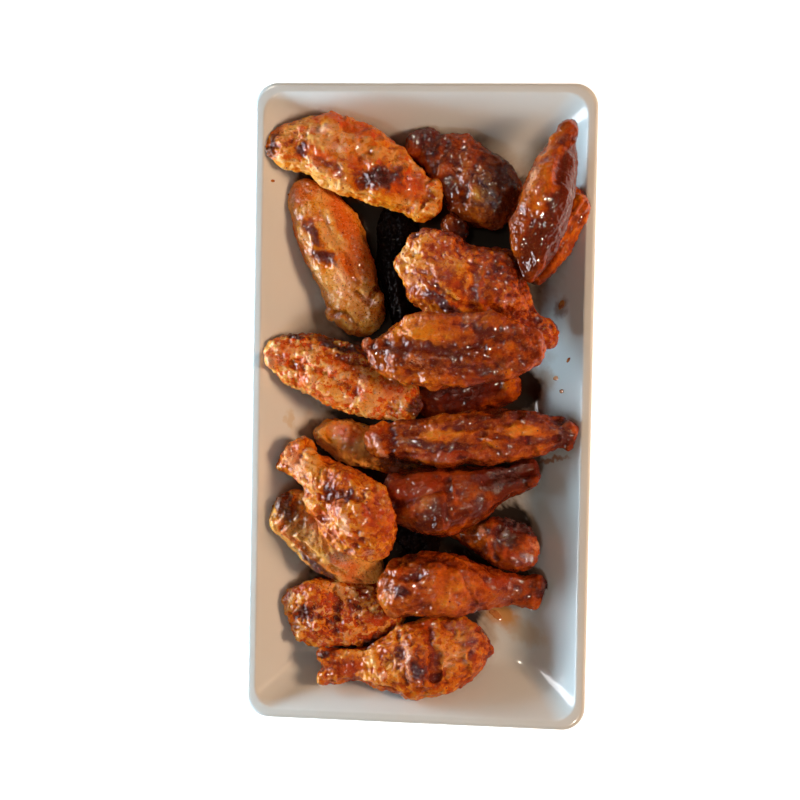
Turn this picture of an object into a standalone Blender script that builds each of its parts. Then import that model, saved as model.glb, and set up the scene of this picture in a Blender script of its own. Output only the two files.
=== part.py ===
"""Chicken wings on a rectangular porcelain platter.

Twenty-one sauced wing pieces (flats and drumettes) lie heaped in two layers in a shallow platter.
Units are metres and +Z is up. The origin is the middle of the platter's foot, where it stands.
Every wing piece has its own place, heading and size, and each is let down in turn until it rests
on the platter and on the pieces that were laid before it.
"""

import math
from dataclasses import dataclass

import bmesh
import bpy
from mathutils import Euler, Matrix, Vector, noise
from mathutils.bvhtree import BVHTree

MM = 0.001

# ---------------------------------------------------------------- the platter's driving sizes
PLATTER_LENGTH = 305 * MM
PLATTER_WIDTH = 163 * MM
PLATTER_HEIGHT = 27 * MM
RIM_CORNER = 11 * MM
FLOOR_CORNER = 7 * MM
FOOT_INSET = 39 * MM
FOOT_WIDTH = 4.5 * MM
FOOT_DEPTH = 2.2 * MM
FLOOR_THICKNESS = 3.6 * MM
WALL_THICKNESS = 4.0 * MM
WALL_INSET = 34 * MM
LIP_WIDTH = 4.6 * MM
CORNER_STEPS = 5

# ---------------------------------------------------------------- how a wing is shaped
RINGS_ALONG = 13
POINTS_AROUND = 16
BOXY = 0.82
UNDERSIDE = 0.85
TAPER_REACH = 0.35
CORE_SHARE = 0.8
UNEVEN_HEIGHT = 1.6
UNEVEN_SCALE = 1.9

# ---------------------------------------------------------------- how the wings are laid
REST_GAP = 0.5 * MM
LIFT_STEP = 0.2 * MM
DROP_HEIGHT = 0.25
# The firm core of a piece, as shares of its length, width and depth.
FIRM_LENGTH = 0.92
FIRM_WIDTH = 0.68
FIRM_DEPTH = 0.64
# The soft flesh round the core is dented where it meets what is already there.
PRESS_ROUNDS = 24
PRESS_REACH = 9.0 * MM
PRESS_ENOUGH = 0.02 * MM
# The search for the pose in which a piece lies lowest: leans are in degrees, and each cost is the
# height that a piece has to lose to be worth the move.
SETTLE_STEPS = (2.0, 1.0, 0.5)
LEAN_STEP = 3.0
LEAN_LIMIT = 12.0
LEAN_COST = 0.02 * MM
SLIDE_STEP = 1.5 * MM
SLIDE_LIMIT = 2.0 * MM
SLIDE_COST = 0.8

# How full a piece is from its tail to its head, as a share of a plain ellipsoid's section.
FLAT_WIDTHS = (1.30, 1.12, 1.04, 1.00, 0.98, 1.00, 1.20)
FLAT_DEPTHS = (1.25, 1.08, 1.02, 1.00, 0.96, 0.94, 1.15)
DRUM_WIDTHS = (1.35, 1.18, 1.10, 0.92, 0.66, 0.55, 1.15)
DRUM_DEPTHS = (1.25, 1.14, 1.08, 0.94, 0.70, 0.60, 1.10)


@dataclass(frozen=True)
class Lump:
    """A swelling or a hollow on a piece's upper side.

    along runs from 0 at the tail to 1 at the head, side from -1 to 1 across the piece, height is
    how far the skin is pushed out (negative for a hollow), and spread is how wide it reaches.
    """

    along: float
    side: float
    height: float
    spread: float


@dataclass(frozen=True)
class Wing:
    """One wing piece: its size, and its place and heading on the platter, in mm and degrees."""

    name: str
    x: float
    y: float
    heading: float
    length: float
    width: float
    depth: float
    pitch: float = 0.0
    roll: float = 0.0
    bow: float = 0.0
    tail: float = 1.0
    head: float = 1.0
    lumps: tuple = ()

    @property
    def is_drumette(self):
        return self.name.startswith("drumette")


def knuckles(along, height=3.0, spread=7.0, gap=0.55):
    """The two bone heads side by side at one end of a flat."""
    return (Lump(along, -gap, height, spread), Lump(along, gap, height * 0.8, spread))


# The pieces in the order in which they are laid, the lower layer first.
WINGS = (
    # Lower layer, from the back of the platter to the front.
    Wing("drumette_01", 17, 110, 145, 66, 36, 28, roll=6,
         lumps=(Lump(0.12, 0.6, 3, 9), Lump(0.38, -0.2, 3, 8), Lump(0.1, -0.5, 3, 8),
                Lump(0.66, -0.9, 6, 12))),
    Wing("flat_01", 63, 81, 58, 50, 24, 18, roll=-28, lumps=knuckles(0.95)),
    Wing("drumette_02", 20, 63, 102, 58, 25, 20, lumps=knuckles(0.97, 3, 6)),
    Wing("flat_02", -11, 64, -83, 66, 24, 19, lumps=knuckles(0.05, 2)),
    Wing("flat_03", -44, 71, -64, 82, 34, 25, bow=2, tail=0.85,
         lumps=knuckles(0.93, 3.5, 7.5, 0.7) + (Lump(0.82, -1.0, 4.5, 8), Lump(0.7, 0.3, 2, 10))),
    Wing("flat_04", 21, 5, 14, 53, 22, 18, lumps=knuckles(0.95, 2)),
    Wing("flat_05", -37, 11, -20, 82, 33, 22, pitch=-8, bow=2, tail=0.85,
         lumps=(Lump(0.1, 0.5, 4, 8), Lump(0.35, 0.1, 2.5, 9), Lump(0.62, -0.3, 3, 9),
                Lump(0.9, 0.0, 2, 7))),
    Wing("flat_06", -25, -22, -18, 56, 22, 20, lumps=knuckles(0.06, 2) + (Lump(0.35, -0.2, 3, 8),)),
    Wing("flat_07", -2, -60, -75, 44, 20, 18, lumps=knuckles(0.5, 2, 8)),
    Wing("drumette_03", 34, -64, 164, 49, 25, 21, lumps=(Lump(0.1, 0.2, 3, 9),)),
    Wing("flat_09", -35, -101, 0, 60, 33, 22, bow=-1,
         lumps=(Lump(0.15, 0.6, 4, 9), Lump(0.2, -0.6, 4, 9), Lump(0.55, -0.5, 3, 8),
                Lump(0.5, 0.2, -3, 8))),
    Wing("flat_08", -45, -67, -36, 63, 31, 20, tail=0.95,
         lumps=knuckles(0.08, 3.5, 8) + (Lump(0.55, -0.5, 2.5, 9),)),
    Wing("drumette_04", -5, -123, -170, 84, 38, 27, bow=1, head=1.2,
         lumps=(Lump(0.42, 0.0, 5, 8), Lump(0.25, 0.2, -2, 7), Lump(0.55, 1.0, 2.5, 15),
                Lump(0.97, 0.6, 3, 5), Lump(0.97, -0.7, 3, 5))),
    # Upper layer.
    Wing("flat_11", -35, 110, -20, 90, 36, 24, bow=6, tail=0.9,
         lumps=knuckles(0.97, 4, 6, 0.6) + (Lump(0.3, 0.9, 3, 14), Lump(0.2, -1.0, -3, 10),
                                            Lump(0.66, -0.2, 3, 9))),
    Wing("drumette_05", 28, 53, -31, 85, 40, 28, pitch=8, bow=-2,
         lumps=(Lump(0.12, 0.7, 4, 9), Lump(0.3, -0.2, 3, 10), Lump(0.56, 1.0, 13, 12))),
    Wing("flat_10", 60, 96, 76, 80, 26, 27, pitch=4, tail=0.66, head=0.6, bow=1,
         lumps=(Lump(0.5, 0.1, 2.5, 12), Lump(0.3, 0.9, 2.5, 9), Lump(0.7, -0.9, -2, 10))),
    Wing("flat_12", 19, 28, 3, 84, 36, 24, bow=1,
         lumps=(Lump(0.3, 0.5, 4, 13), Lump(0.45, -0.5, 3, 12), Lump(0.03, 0.2, 4, 5),
                Lump(0.45, 0.02, -2.5, 7), Lump(0.12, 0.9, -3, 8))),
    Wing("flat_13", 25, -13, 3, 98, 28, 25, bow=-1,
         lumps=(Lump(0.06, -0.1, 3.5, 8), Lump(0.25, -0.6, 2, 9), Lump(0.27, 1.0, -4.5, 12),
                Lump(0.75, 0.1, 3, 12), Lump(0.97, 0.5, 3, 5), Lump(0.97, -0.5, 3, 5))),
    Wing("drumette_06", 20, -37, 13, 79, 38, 28, pitch=3, bow=-4,
         lumps=(Lump(0.3, -0.5, 4, 11), Lump(0.5, 0.3, -2, 9), Lump(0.6, -0.3, 3, 8))),
    Wing("drumette_07", -37, -45, 140, 74, 37, 29, pitch=-3, bow=-2, head=1.25,
         lumps=(Lump(0.2, 0.0, 4, 12), Lump(0.48, 0.2, -4, 6), Lump(0.62, 0.2, 3, 9))),
    Wing("drumette_08", 21, -88, -2, 83, 34, 28, pitch=-4, bow=1,
         lumps=(Lump(0.12, 0.6, 3, 8), Lump(0.1, -0.5, 4, 9), Lump(0.35, 0.0, 3, 12))),
)


# ---------------------------------------------------------------- materials
def material(name, colour, roughness):
    """A Principled BSDF of one colour."""
    made = bpy.data.materials.new(name)
    made.use_nodes = True
    shader = made.node_tree.nodes["Principled BSDF"]
    shader.inputs["Base Color"].default_value = (*colour, 1.0)
    shader.inputs["Roughness"].default_value = roughness
    shader.inputs["Metallic"].default_value = 0.0
    return made


# ---------------------------------------------------------------- the platter
def rounded_rectangle(inset, corner, height):
    """Points of a rectangle with round corners, inset from the platter's outline."""
    half_x = PLATTER_WIDTH / 2 - inset - corner
    half_y = PLATTER_LENGTH / 2 - inset - corner
    points = []
    for quarter, (sx, sy) in enumerate(((1, 1), (-1, 1), (-1, -1), (1, -1))):
        for step in range(CORNER_STEPS + 1):
            angle = math.radians(90 * (quarter + step / CORNER_STEPS))
            points.append(Vector((sx * half_x + corner * math.cos(angle),
                                  sy * half_y + corner * math.sin(angle), height)))
    return points


def platter_sections():
    """(inset, height) of the platter's section, from the middle of its underside out and over the
    lip to the floor."""
    floor_top = FOOT_DEPTH * 0.5 + FLOOR_THICKNESS
    lip_inner = LIP_WIDTH
    slope_end = (WALL_INSET * 0.72, floor_top + 3.6 * MM)
    return (
        (FOOT_INSET + FOOT_WIDTH + 1 * MM, FOOT_DEPTH * 0.5),
        (FOOT_INSET + FOOT_WIDTH, 0.3 * MM),
        (FOOT_INSET + FOOT_WIDTH - 0.5 * MM, 0.0),
        (FOOT_INSET + 0.5 * MM, 0.0),
        (FOOT_INSET, 0.3 * MM),
        (FOOT_INSET - 1 * MM, FOOT_DEPTH),
        (slope_end[0], slope_end[1] - WALL_THICKNESS * 1.1),
        (lip_inner + 1.5 * MM, PLATTER_HEIGHT - WALL_THICKNESS * 1.45),
        (1.2 * MM, PLATTER_HEIGHT - 3.4 * MM),
        (0.0, PLATTER_HEIGHT - 1.7 * MM),
        (0.7 * MM, PLATTER_HEIGHT - 0.4 * MM),
        (2.2 * MM, PLATTER_HEIGHT),
        (lip_inner - 0.8 * MM, PLATTER_HEIGHT - 0.5 * MM),
        (lip_inner + 0.9 * MM, PLATTER_HEIGHT - 2.2 * MM),
        slope_end,
        (WALL_INSET * 0.86, floor_top + 1.2 * MM),
        (WALL_INSET + 2 * MM, floor_top),
    )


def make_platter(glaze):
    """The shallow rectangular platter, lofted through rounded rectangles, with a foot ring below."""
    bm = bmesh.new()
    rings = []
    for inset, height in platter_sections():
        share = min(1.0, inset / WALL_INSET)
        corner = RIM_CORNER + (FLOOR_CORNER - RIM_CORNER) * share
        rings.append([bm.verts.new(p) for p in rounded_rectangle(inset, corner, height)])
    for lower, upper in zip(rings, rings[1:]):
        for i, vert in enumerate(lower):
            after = (i + 1) % len(lower)
            bm.faces.new((vert, lower[after], upper[after], upper[i]))
    bm.faces.new(list(reversed(rings[0])))
    bm.faces.new(rings[-1])
    bmesh.ops.recalc_face_normals(bm, faces=bm.faces)
    return new_object("platter", bm, glaze)


# ---------------------------------------------------------------- the wings
def fullness(shares, along):
    """Smooth value of evenly spaced shares at a place from 0 to 1 (a Catmull-Rom curve)."""
    spot = min(max(along, 0.0), 1.0) * (len(shares) - 1)
    i = min(int(spot), len(shares) - 2)
    t = spot - i
    a, b, c, d = (shares[min(max(i + k, 0), len(shares) - 1)] for k in (-1, 0, 1, 2))
    return b + 0.5 * t * (c - a + t * (2 * a - 5 * b + 4 * c - d + t * (3 * (b - c) + d - a)))


def end_taper(wing, along):
    """How much a piece's ends are narrowed: its tail's and head's shares fade in near the ends."""
    near_tail = max(0.0, 1 - along / TAPER_REACH)
    near_head = max(0.0, 1 - (1 - along) / TAPER_REACH)
    return 1 - near_tail * (1 - wing.tail) - near_head * (1 - wing.head)


def skin_point(wing, direction):
    """Where a unit direction from a piece's middle meets its skin, in mm along, across and up."""
    along = (1 + direction.x) / 2
    widths = DRUM_WIDTHS if wing.is_drumette else FLAT_WIDTHS
    depths = DRUM_DEPTHS if wing.is_drumette else FLAT_DEPTHS
    girth = math.hypot(direction.y, direction.z)
    angle = math.atan2(direction.z, direction.y)
    across = math.copysign(abs(math.cos(angle)) ** BOXY, math.cos(angle))
    up = math.copysign(abs(math.sin(angle)) ** BOXY, math.sin(angle))
    taper = end_taper(wing, along)
    half_width = wing.width / 2 * fullness(widths, along) * taper
    half_depth = wing.depth / 2 * fullness(depths, along) * taper
    if direction.z < 0:
        half_depth *= UNDERSIDE
    bow = wing.bow * (1 - (2 * along - 1) ** 2)
    return Vector((wing.length * (along - 0.5), girth * half_width * across + bow,
                   girth * half_depth * up))


def lump_centre(wing, lump):
    """The point of the upper skin that a lump is centred on."""
    x = 2 * lump.along - 1
    girth = math.sqrt(max(0.0, 1 - x * x))
    angle = math.acos(max(-1.0, min(1.0, lump.side)))
    return skin_point(wing, Vector((x, girth * math.cos(angle), girth * math.sin(angle))))


def make_wing_mesh(wing):
    """A closed skin, from a sphere whose poles lie at the piece's tail and head."""
    bm = bmesh.new()
    bmesh.ops.create_uvsphere(bm, u_segments=POINTS_AROUND, v_segments=RINGS_ALONG, radius=1.0,
                              matrix=Matrix.Rotation(math.radians(90), 4, "Y"))
    centres = [(lump, lump_centre(wing, lump)) for lump in wing.lumps]
    own_place = Vector((wing.x, wing.y, wing.length))
    for vert in bm.verts:
        direction = vert.co.normalized()
        point = skin_point(wing, direction)
        core = Vector((point.x * CORE_SHARE, 0.0, 0.0))
        outward = (point - core).normalized()
        point = point + outward * (UNEVEN_HEIGHT * noise.noise(direction * UNEVEN_SCALE + own_place))
        for lump, centre in centres:
            distance = (point - centre).length / lump.spread
            point = point + outward * (lump.height * math.exp(-distance * distance))
        vert.co = point * MM
    bmesh.ops.recalc_face_normals(bm, faces=bm.faces)
    bmesh.ops.triangulate(bm, faces=bm.faces)
    return bm


# ---------------------------------------------------------------- laying the heap
def lean_matrix(wing, pitch, roll):
    """Turns a piece to its heading, with its head tipped up by pitch and its side by roll."""
    turned = Euler((math.radians(roll), math.radians(-pitch), 0.0), "XYZ").to_matrix()
    return (Matrix.Rotation(math.radians(wing.heading), 3, "Z") @ turned).to_4x4()


def samples(points, triangles):
    """Corners, edge points and centres of triangles, for measuring gaps."""
    found = list(points)
    for a, b, c in triangles:
        pa, pb, pc = points[a], points[b], points[c]
        found += [(pa + pb) / 2, (pb + pc) / 2, (pc + pa) / 2, (pa + pb + pc) / 3]
    return found


class Heap:
    """The platter and the pieces laid so far, which the next piece comes down on."""

    def __init__(self, points, triangles):
        self.dish = BVHTree.FromPolygons(points, triangles)
        self.points = []
        self.triangles = []
        self.tree = None
        self.samples = []

    def add(self, points, triangles):
        """Adds a laid piece."""
        start = len(self.points)
        self.points += points
        self.triangles += [tuple(start + i for i in t) for t in triangles]
        self.samples += samples(points, triangles)
        self.tree = BVHTree.FromPolygons(self.points, self.triangles)

    def trees(self):
        """The search trees of the platter and, once there are any, of the laid pieces."""
        return [self.dish] + ([self.tree] if self.tree else [])

    def rest_height(self, points, triangles, middle):
        """The height of a piece's middle when it comes straight down on the heap."""
        lifted = [p + Vector((middle[0], middle[1], DROP_HEIGHT)) for p in points]
        down, up = Vector((0, 0, -1)), Vector((0, 0, 1))
        fall = DROP_HEIGHT
        for tree in self.trees():
            for p in samples(lifted, triangles):
                hit = tree.ray_cast(p, down)
                if hit[0] is not None:
                    fall = min(fall, hit[3])
        own = BVHTree.FromPolygons(lifted, triangles)
        low_x, high_x = min(p.x for p in lifted), max(p.x for p in lifted)
        low_y, high_y = min(p.y for p in lifted), max(p.y for p in lifted)
        for p in self.samples:
            if low_x < p.x < high_x and low_y < p.y < high_y:
                hit = own.ray_cast(p, up)
                if hit[0] is not None:
                    fall = min(fall, hit[3])
        return DROP_HEIGHT - fall + REST_GAP

    def push_out(self, spot):
        """How far a point of a soft piece must move to be clear of the platter and the pieces."""
        push = Vector()
        above = Vector((spot.x, spot.y, DROP_HEIGHT))
        hit = self.dish.ray_cast(above, Vector((0, 0, -1)))
        if hit[0] is not None:
            push.z = max(0.0, hit[0].z + REST_GAP - spot.z)
        if self.tree:
            near, normal, _, distance = self.tree.find_nearest(spot, PRESS_REACH)
            if near is not None:
                outside = (spot - near).dot(normal)
                if outside < 0 or distance < REST_GAP:
                    push += near + normal * REST_GAP - spot
        return push


def press(points, triangles, heap):
    """Dents a soft piece where it meets the platter and the pieces already laid."""
    edges = {tuple(sorted(pair)) for a, b, c in triangles for pair in ((a, b), (b, c), (c, a))}
    groups = [(i,) for i in range(len(points))] + sorted(edges) + list(triangles)
    for _ in range(PRESS_ROUNDS):
        pushes = {}
        for group in groups:
            spot = sum((points[i] for i in group), Vector()) / len(group)
            push = heap.push_out(spot)
            if push.length > PRESS_ENOUGH:
                for i in group:
                    if i not in pushes or push.length > pushes[i].length:
                        pushes[i] = push
        if not pushes:
            break
        for i, push in pushes.items():
            points[i] = points[i] + push


@dataclass(frozen=True)
class Pose:
    """How a piece lies: its tip and roll in degrees, and its middle in plan in metres."""

    pitch: float
    roll: float
    x: float
    y: float

    def moved(self, change):
        """The pose after a change of tip, roll, x and y."""
        return Pose(self.pitch + change[0], self.roll + change[1],
                    self.x + change[2], self.y + change[3])


def settle(wing, points, triangles, heap):
    """The pose near the wanted one at which a piece lies lowest, and its middle's height there."""
    wanted = Pose(wing.pitch, wing.roll, wing.x * MM, wing.y * MM)

    def height(pose):
        turned = lean_matrix(wing, pose.pitch, pose.roll)
        found = heap.rest_height([turned @ p for p in points], triangles, (pose.x, pose.y))
        lean = abs(pose.pitch - wanted.pitch) + abs(pose.roll - wanted.roll)
        slid = abs(pose.x - wanted.x) + abs(pose.y - wanted.y)
        return found + LEAN_COST * lean + SLIDE_COST * slid, found

    best = wanted
    lowest = height(best)
    for step in SETTLE_STEPS:
        lean, slide = LEAN_STEP * step, SLIDE_STEP * step
        changes = [c for d in (1, -1) for c in ((lean * d, 0, 0, 0), (0, lean * d, 0, 0),
                                                (0, 0, slide * d, 0), (0, 0, 0, slide * d))]
        moved = True
        while moved:
            moved = False
            for change in changes:
                trial = best.moved(change)
                lean_off = max(abs(trial.pitch - wanted.pitch), abs(trial.roll - wanted.roll))
                slide_off = max(abs(trial.x - wanted.x), abs(trial.y - wanted.y))
                if lean_off > LEAN_LIMIT or slide_off > SLIDE_LIMIT:
                    continue
                tried = height(trial)
                if tried[0] < lowest[0]:
                    best, lowest, moved = trial, tried, True
    return best, lowest[1]


def lay_wing(wing, heap, skin):
    """Makes a piece, lets its firm core down on the heap until it rests, dents its flesh where it
    is pressed, and adds it to the heap."""
    bm = make_wing_mesh(wing)
    bm.verts.ensure_lookup_table()
    points = [v.co.copy() for v in bm.verts]
    triangles = [tuple(v.index for v in f.verts) for f in bm.faces]
    firm = Matrix.Diagonal((FIRM_LENGTH, FIRM_WIDTH, FIRM_DEPTH))
    pose, height = settle(wing, [firm @ p for p in points], triangles, heap)
    frame = Matrix.Translation((pose.x, pose.y, height)) @ lean_matrix(wing, pose.pitch, pose.roll)
    laid = [frame @ p for p in points]
    press(laid, triangles, heap)
    lift = Vector((0, 0, LIFT_STEP))
    while any(BVHTree.FromPolygons(laid, triangles).overlap(tree) for tree in heap.trees()):
        laid = [p + lift for p in laid]
        frame.translation += lift
    heap.add(laid, triangles)
    home = frame.inverted()
    for vert, point in zip(bm.verts, laid):
        vert.co = home @ point
    obj = new_object(wing.name, bm, skin)
    obj.matrix_world = frame
    return obj


# ---------------------------------------------------------------- objects and collections
def new_object(name, bm, finish):
    """A mesh object from a bmesh, with one material, shaded smooth, in the serving's collection."""
    mesh = bpy.data.meshes.new(name)
    bm.to_mesh(mesh)
    bm.free()
    mesh.materials.append(finish)
    mesh.shade_smooth()
    obj = bpy.data.objects.new(name, mesh)
    SERVING.objects.link(obj)
    return obj


def triangles_of(obj):
    """World points and triangles of an object's mesh."""
    mesh = obj.data
    mesh.calc_loop_triangles()
    points = [obj.matrix_world @ v.co for v in mesh.vertices]
    return points, [tuple(t.vertices) for t in mesh.loop_triangles]


for old in list(bpy.data.objects):
    bpy.data.objects.remove(old)
SERVING = bpy.data.collections.new("chicken_wings_serving")
bpy.context.scene.collection.children.link(SERVING)

porcelain = material("glazed_porcelain", (0.86, 0.86, 0.84), 0.12)
flat_skin = material("sauced_flat_skin", (0.50, 0.13, 0.02), 0.30)
drumette_skin = material("sauced_drumette_skin", (0.46, 0.11, 0.02), 0.30)

platter = make_platter(porcelain)
heap_so_far = Heap(*triangles_of(platter))
for each_wing in WINGS:
    lay_wing(each_wing, heap_so_far, drumette_skin if each_wing.is_drumette else flat_skin)
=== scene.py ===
"""Chicken wings in orange-red hot sauce, heaped on a white porcelain platter.

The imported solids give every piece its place. This script dresses them: each wing is rebuilt as fried
skin with lumps, folds, pimples and char under a wet coat of sauce, and the platter as thrown and
glazed porcelain. Sauce marks, beads and crumbs are small pieces of their own.
"""

import logging
import math
from dataclasses import dataclass, field
from enum import Enum

import bmesh
import bpy
import numpy as np
from mathutils import Euler, Matrix, Vector, noise
from mathutils.bvhtree import BVHTree

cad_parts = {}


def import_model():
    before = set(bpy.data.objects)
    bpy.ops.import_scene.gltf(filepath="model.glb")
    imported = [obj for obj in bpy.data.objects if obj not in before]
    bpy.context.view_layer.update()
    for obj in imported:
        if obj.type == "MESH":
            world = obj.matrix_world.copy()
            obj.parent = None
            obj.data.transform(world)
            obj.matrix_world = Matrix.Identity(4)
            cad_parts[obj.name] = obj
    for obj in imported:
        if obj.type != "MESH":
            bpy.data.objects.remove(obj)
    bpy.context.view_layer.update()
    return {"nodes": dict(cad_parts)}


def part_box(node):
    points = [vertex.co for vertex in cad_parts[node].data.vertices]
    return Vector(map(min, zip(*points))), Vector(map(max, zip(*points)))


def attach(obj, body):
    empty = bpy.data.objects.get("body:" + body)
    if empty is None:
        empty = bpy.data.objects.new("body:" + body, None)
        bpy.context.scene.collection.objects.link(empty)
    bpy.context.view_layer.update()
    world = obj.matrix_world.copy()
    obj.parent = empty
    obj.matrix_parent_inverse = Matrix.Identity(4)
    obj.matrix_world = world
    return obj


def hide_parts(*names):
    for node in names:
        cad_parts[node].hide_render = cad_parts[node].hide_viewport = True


MM = 0.001
ROOT = "root"
LOG = logging.getLogger("chicken_wings")

Feeds = dict[int | str, object]
Colour = tuple[float, float, float, float]


# ------------------------------------------------------------------ small helpers
def linear(hex_colour: str) -> Colour:
    """Turns an sRGB hex colour into linear light.

    Args:
        hex_colour: Six hex digits, such as "C8501A".

    Returns:
        Red, green, blue and an alpha of 1.
    """
    parts = [int(hex_colour[i : i + 2], 16) / 255 for i in (0, 2, 4)]
    light = [p / 12.92 if p <= 0.04045 else ((p + 0.055) / 1.055) ** 2.4 for p in parts]
    return (light[0], light[1], light[2], 1.0)


def add(tree: bpy.types.NodeTree, kind: str, feeds: Feeds | None = None, **settings: object) -> bpy.types.Node:
    """Adds a node with its settings and links.

    Args:
        tree: The node tree.
        kind: The node's type.
        feeds: For each input, by name or number, its value or the socket that feeds it.
        **settings: Properties of the node.

    Returns:
        The node.
    """
    node = tree.nodes.new(kind)
    for name, value in settings.items():
        setattr(node, name, value)
    for key, value in (feeds or {}).items():
        if isinstance(value, bpy.types.Node):
            value = value.outputs[0]
        if isinstance(value, bpy.types.NodeSocket):
            tree.links.new(value, node.inputs[key])
        else:
            node.inputs[key].default_value = value
    return node


def evaluated(obj: bpy.types.Object) -> bpy.types.Mesh:
    """Gives an object's mesh with its modifiers applied.

    Args:
        obj: The object.

    Returns:
        A new mesh.
    """
    graph = bpy.context.evaluated_depsgraph_get()
    return bpy.data.meshes.new_from_object(obj.evaluated_get(graph), depsgraph=graph)


def apply_modifiers(obj: bpy.types.Object) -> None:
    """Replaces an object's mesh by its modified one and removes the modifiers.

    Args:
        obj: The object.
    """
    mesh = evaluated(obj)
    obj.modifiers.clear()
    obj.data = mesh


def new_piece(name: str, mesh: bpy.types.Mesh) -> bpy.types.Object:
    """Makes a shaded object that rides on the root body.

    Args:
        name: The piece's name.
        mesh: Its mesh, in place.

    Returns:
        The object.
    """
    obj = bpy.data.objects.new(name, mesh)
    bpy.context.scene.collection.objects.link(obj)
    mesh.shade_smooth()
    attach(obj, ROOT)
    LOG.info("%s: %d faces", name, len(mesh.polygons))
    return obj


def mesh_points(mesh: bpy.types.Mesh) -> tuple[np.ndarray, np.ndarray]:
    """Reads a mesh's points and their normals.

    Args:
        mesh: The mesh.

    Returns:
        The points and the normals, one row each.
    """
    count = len(mesh.vertices)
    points, normals = np.empty(count * 3, np.float32), np.empty(count * 3, np.float32)
    mesh.vertices.foreach_get("co", points)
    mesh.vertex_normals.foreach_get("vector", normals)
    return points.reshape(-1, 3), normals.reshape(-1, 3)


def store(mesh: bpy.types.Mesh, name: str, values: np.ndarray) -> None:
    """Writes a number for each point of a mesh.

    Args:
        mesh: The mesh.
        name: The attribute's name.
        values: One number for each point.
    """
    attribute = mesh.attributes.new(name, "FLOAT", "POINT")
    attribute.data.foreach_set("value", values.astype(np.float32))


def drift(points: np.ndarray, size: float, seed: int) -> np.ndarray:
    """Gives smooth random numbers over space.

    Args:
        points: Places, one row each, in metres.
        size: How far apart unlike numbers lie, in mm.
        seed: Which random numbers.

    Returns:
        A number from -1 to 1 for each place.
    """
    grid = np.random.default_rng(seed).uniform(-1, 1, (32, 32, 32))
    spots = points @ np.array(Euler((0.6, 0.4, 0.9)).to_matrix()) / (size * MM)
    cells = np.floor(spots).astype(int)
    parts = spots - cells
    parts = parts * parts * (3 - 2 * parts)
    total = np.zeros(len(points))
    for corner in np.ndindex(2, 2, 2):
        x, y, z = ((cells + corner) % 32).T
        total += np.prod(np.where(corner, parts, 1 - parts), axis=1) * grid[x, y, z]
    return total


def standing_out(mesh: bpy.types.Mesh, rounds: int) -> np.ndarray:
    """Measures how far each point stands out of its surroundings.

    Args:
        mesh: The mesh.
        rounds: How often the surroundings are averaged; more rounds take in a wider area.

    Returns:
        Heights in mm, below 0 in a hollow.
    """
    points, normals = mesh_points(mesh)
    ends = np.empty(len(mesh.edges) * 2, np.int32)
    mesh.edges.foreach_get("vertices", ends)
    one, other = ends.reshape(-1, 2).T
    count = len(points)
    share = np.bincount(one, minlength=count) + np.bincount(other, minlength=count)
    smooth = points.astype(float)
    for _ in range(rounds):
        smooth = np.stack([np.bincount(one, smooth[other, k], count) + np.bincount(other, smooth[one, k], count)
                           for k in range(3)], axis=1) / share[:, None]
    return ((points - smooth) * normals).sum(axis=1) / MM


# ------------------------------------------------------------------ what a wing's skin carries
class Tint(Enum):
    """What colours a patch of skin. The value is the attribute that carries it."""

    CHAR = "char"
    DARK = "dark"
    GOLD = "gold"
    # Pale skin, and partly painted highlight where light from the low window on the left catches the skin.
    PALE = "pale"
    SAUCE = "sauce"


class Skin(Enum):
    """How a piece's skin is fried: heights in mm of its lumps, pimples, wrinkles, crust and folds."""

    SMOOTH = (1.4, 0.24, 0.16, 0.22, 0.28)
    TAUT = (0.9, 0.24, 0.34, 0.36, 0.34)
    BUMPY = (1.7, 0.26, 0.34, 0.50, 0.46)
    RUGGED = (1.8, 0.30, 0.44, 0.60, 0.70)
    CRUSTY = (1.5, 0.40, 0.30, 1.05, 0.40)
    # For the pieces deep in the gaps: burnt skin, and their near-black finish is also painted shade.
    BURNT = (1.2, 0.30, 0.50, 0.90, 0.50)

    @property
    def crust_share(self) -> float:
        """How thickly crust specks the skin, from 0 to 1."""
        return {Skin.SMOOTH: 0.1, Skin.TAUT: 0.9, Skin.BUMPY: 0.16, Skin.RUGGED: 0.25, Skin.CRUSTY: 0.7, Skin.BURNT: 0.0}[self]

    @property
    def contrast(self) -> float:
        """How strongly hollows and crumbs of crust differ in colour, from 0 to 1; the darker hollows are partly painted
        shade.
        """
        return {Skin.SMOOTH: 0.1, Skin.TAUT: 0.25, Skin.BUMPY: 0.15, Skin.RUGGED: 0.45, Skin.CRUSTY: 1.0, Skin.BURNT: 0.0}[self]


@dataclass(frozen=True)
class Patch:
    """A patch of colour on a piece.

    along runs from 0 at the piece's thick end to 1 at its thin one, and side from -1 to 1 across
    it. length and width are in mm, and turn is in degrees from the piece's own direction.
    """

    tint: Tint
    along: float
    side: float
    length: float
    width: float
    turn: float = 0.0
    strength: float = 1.0


@dataclass(frozen=True)
class Knob:
    """A bone end, gristle or lobe of meat that stands out, with its radius and rise in mm."""

    along: float
    side: float
    radius: float
    rise: float = 1.5
    stretch: float = 1.0
    turn: float = 0.0


@dataclass(frozen=True)
class Crease:
    """A groove along a path of (along, side) places, with a depth and width in mm.

    A negative depth raises a fold of skin instead.
    """

    path: tuple[tuple[float, float], ...]
    depth: float
    width: float


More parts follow.
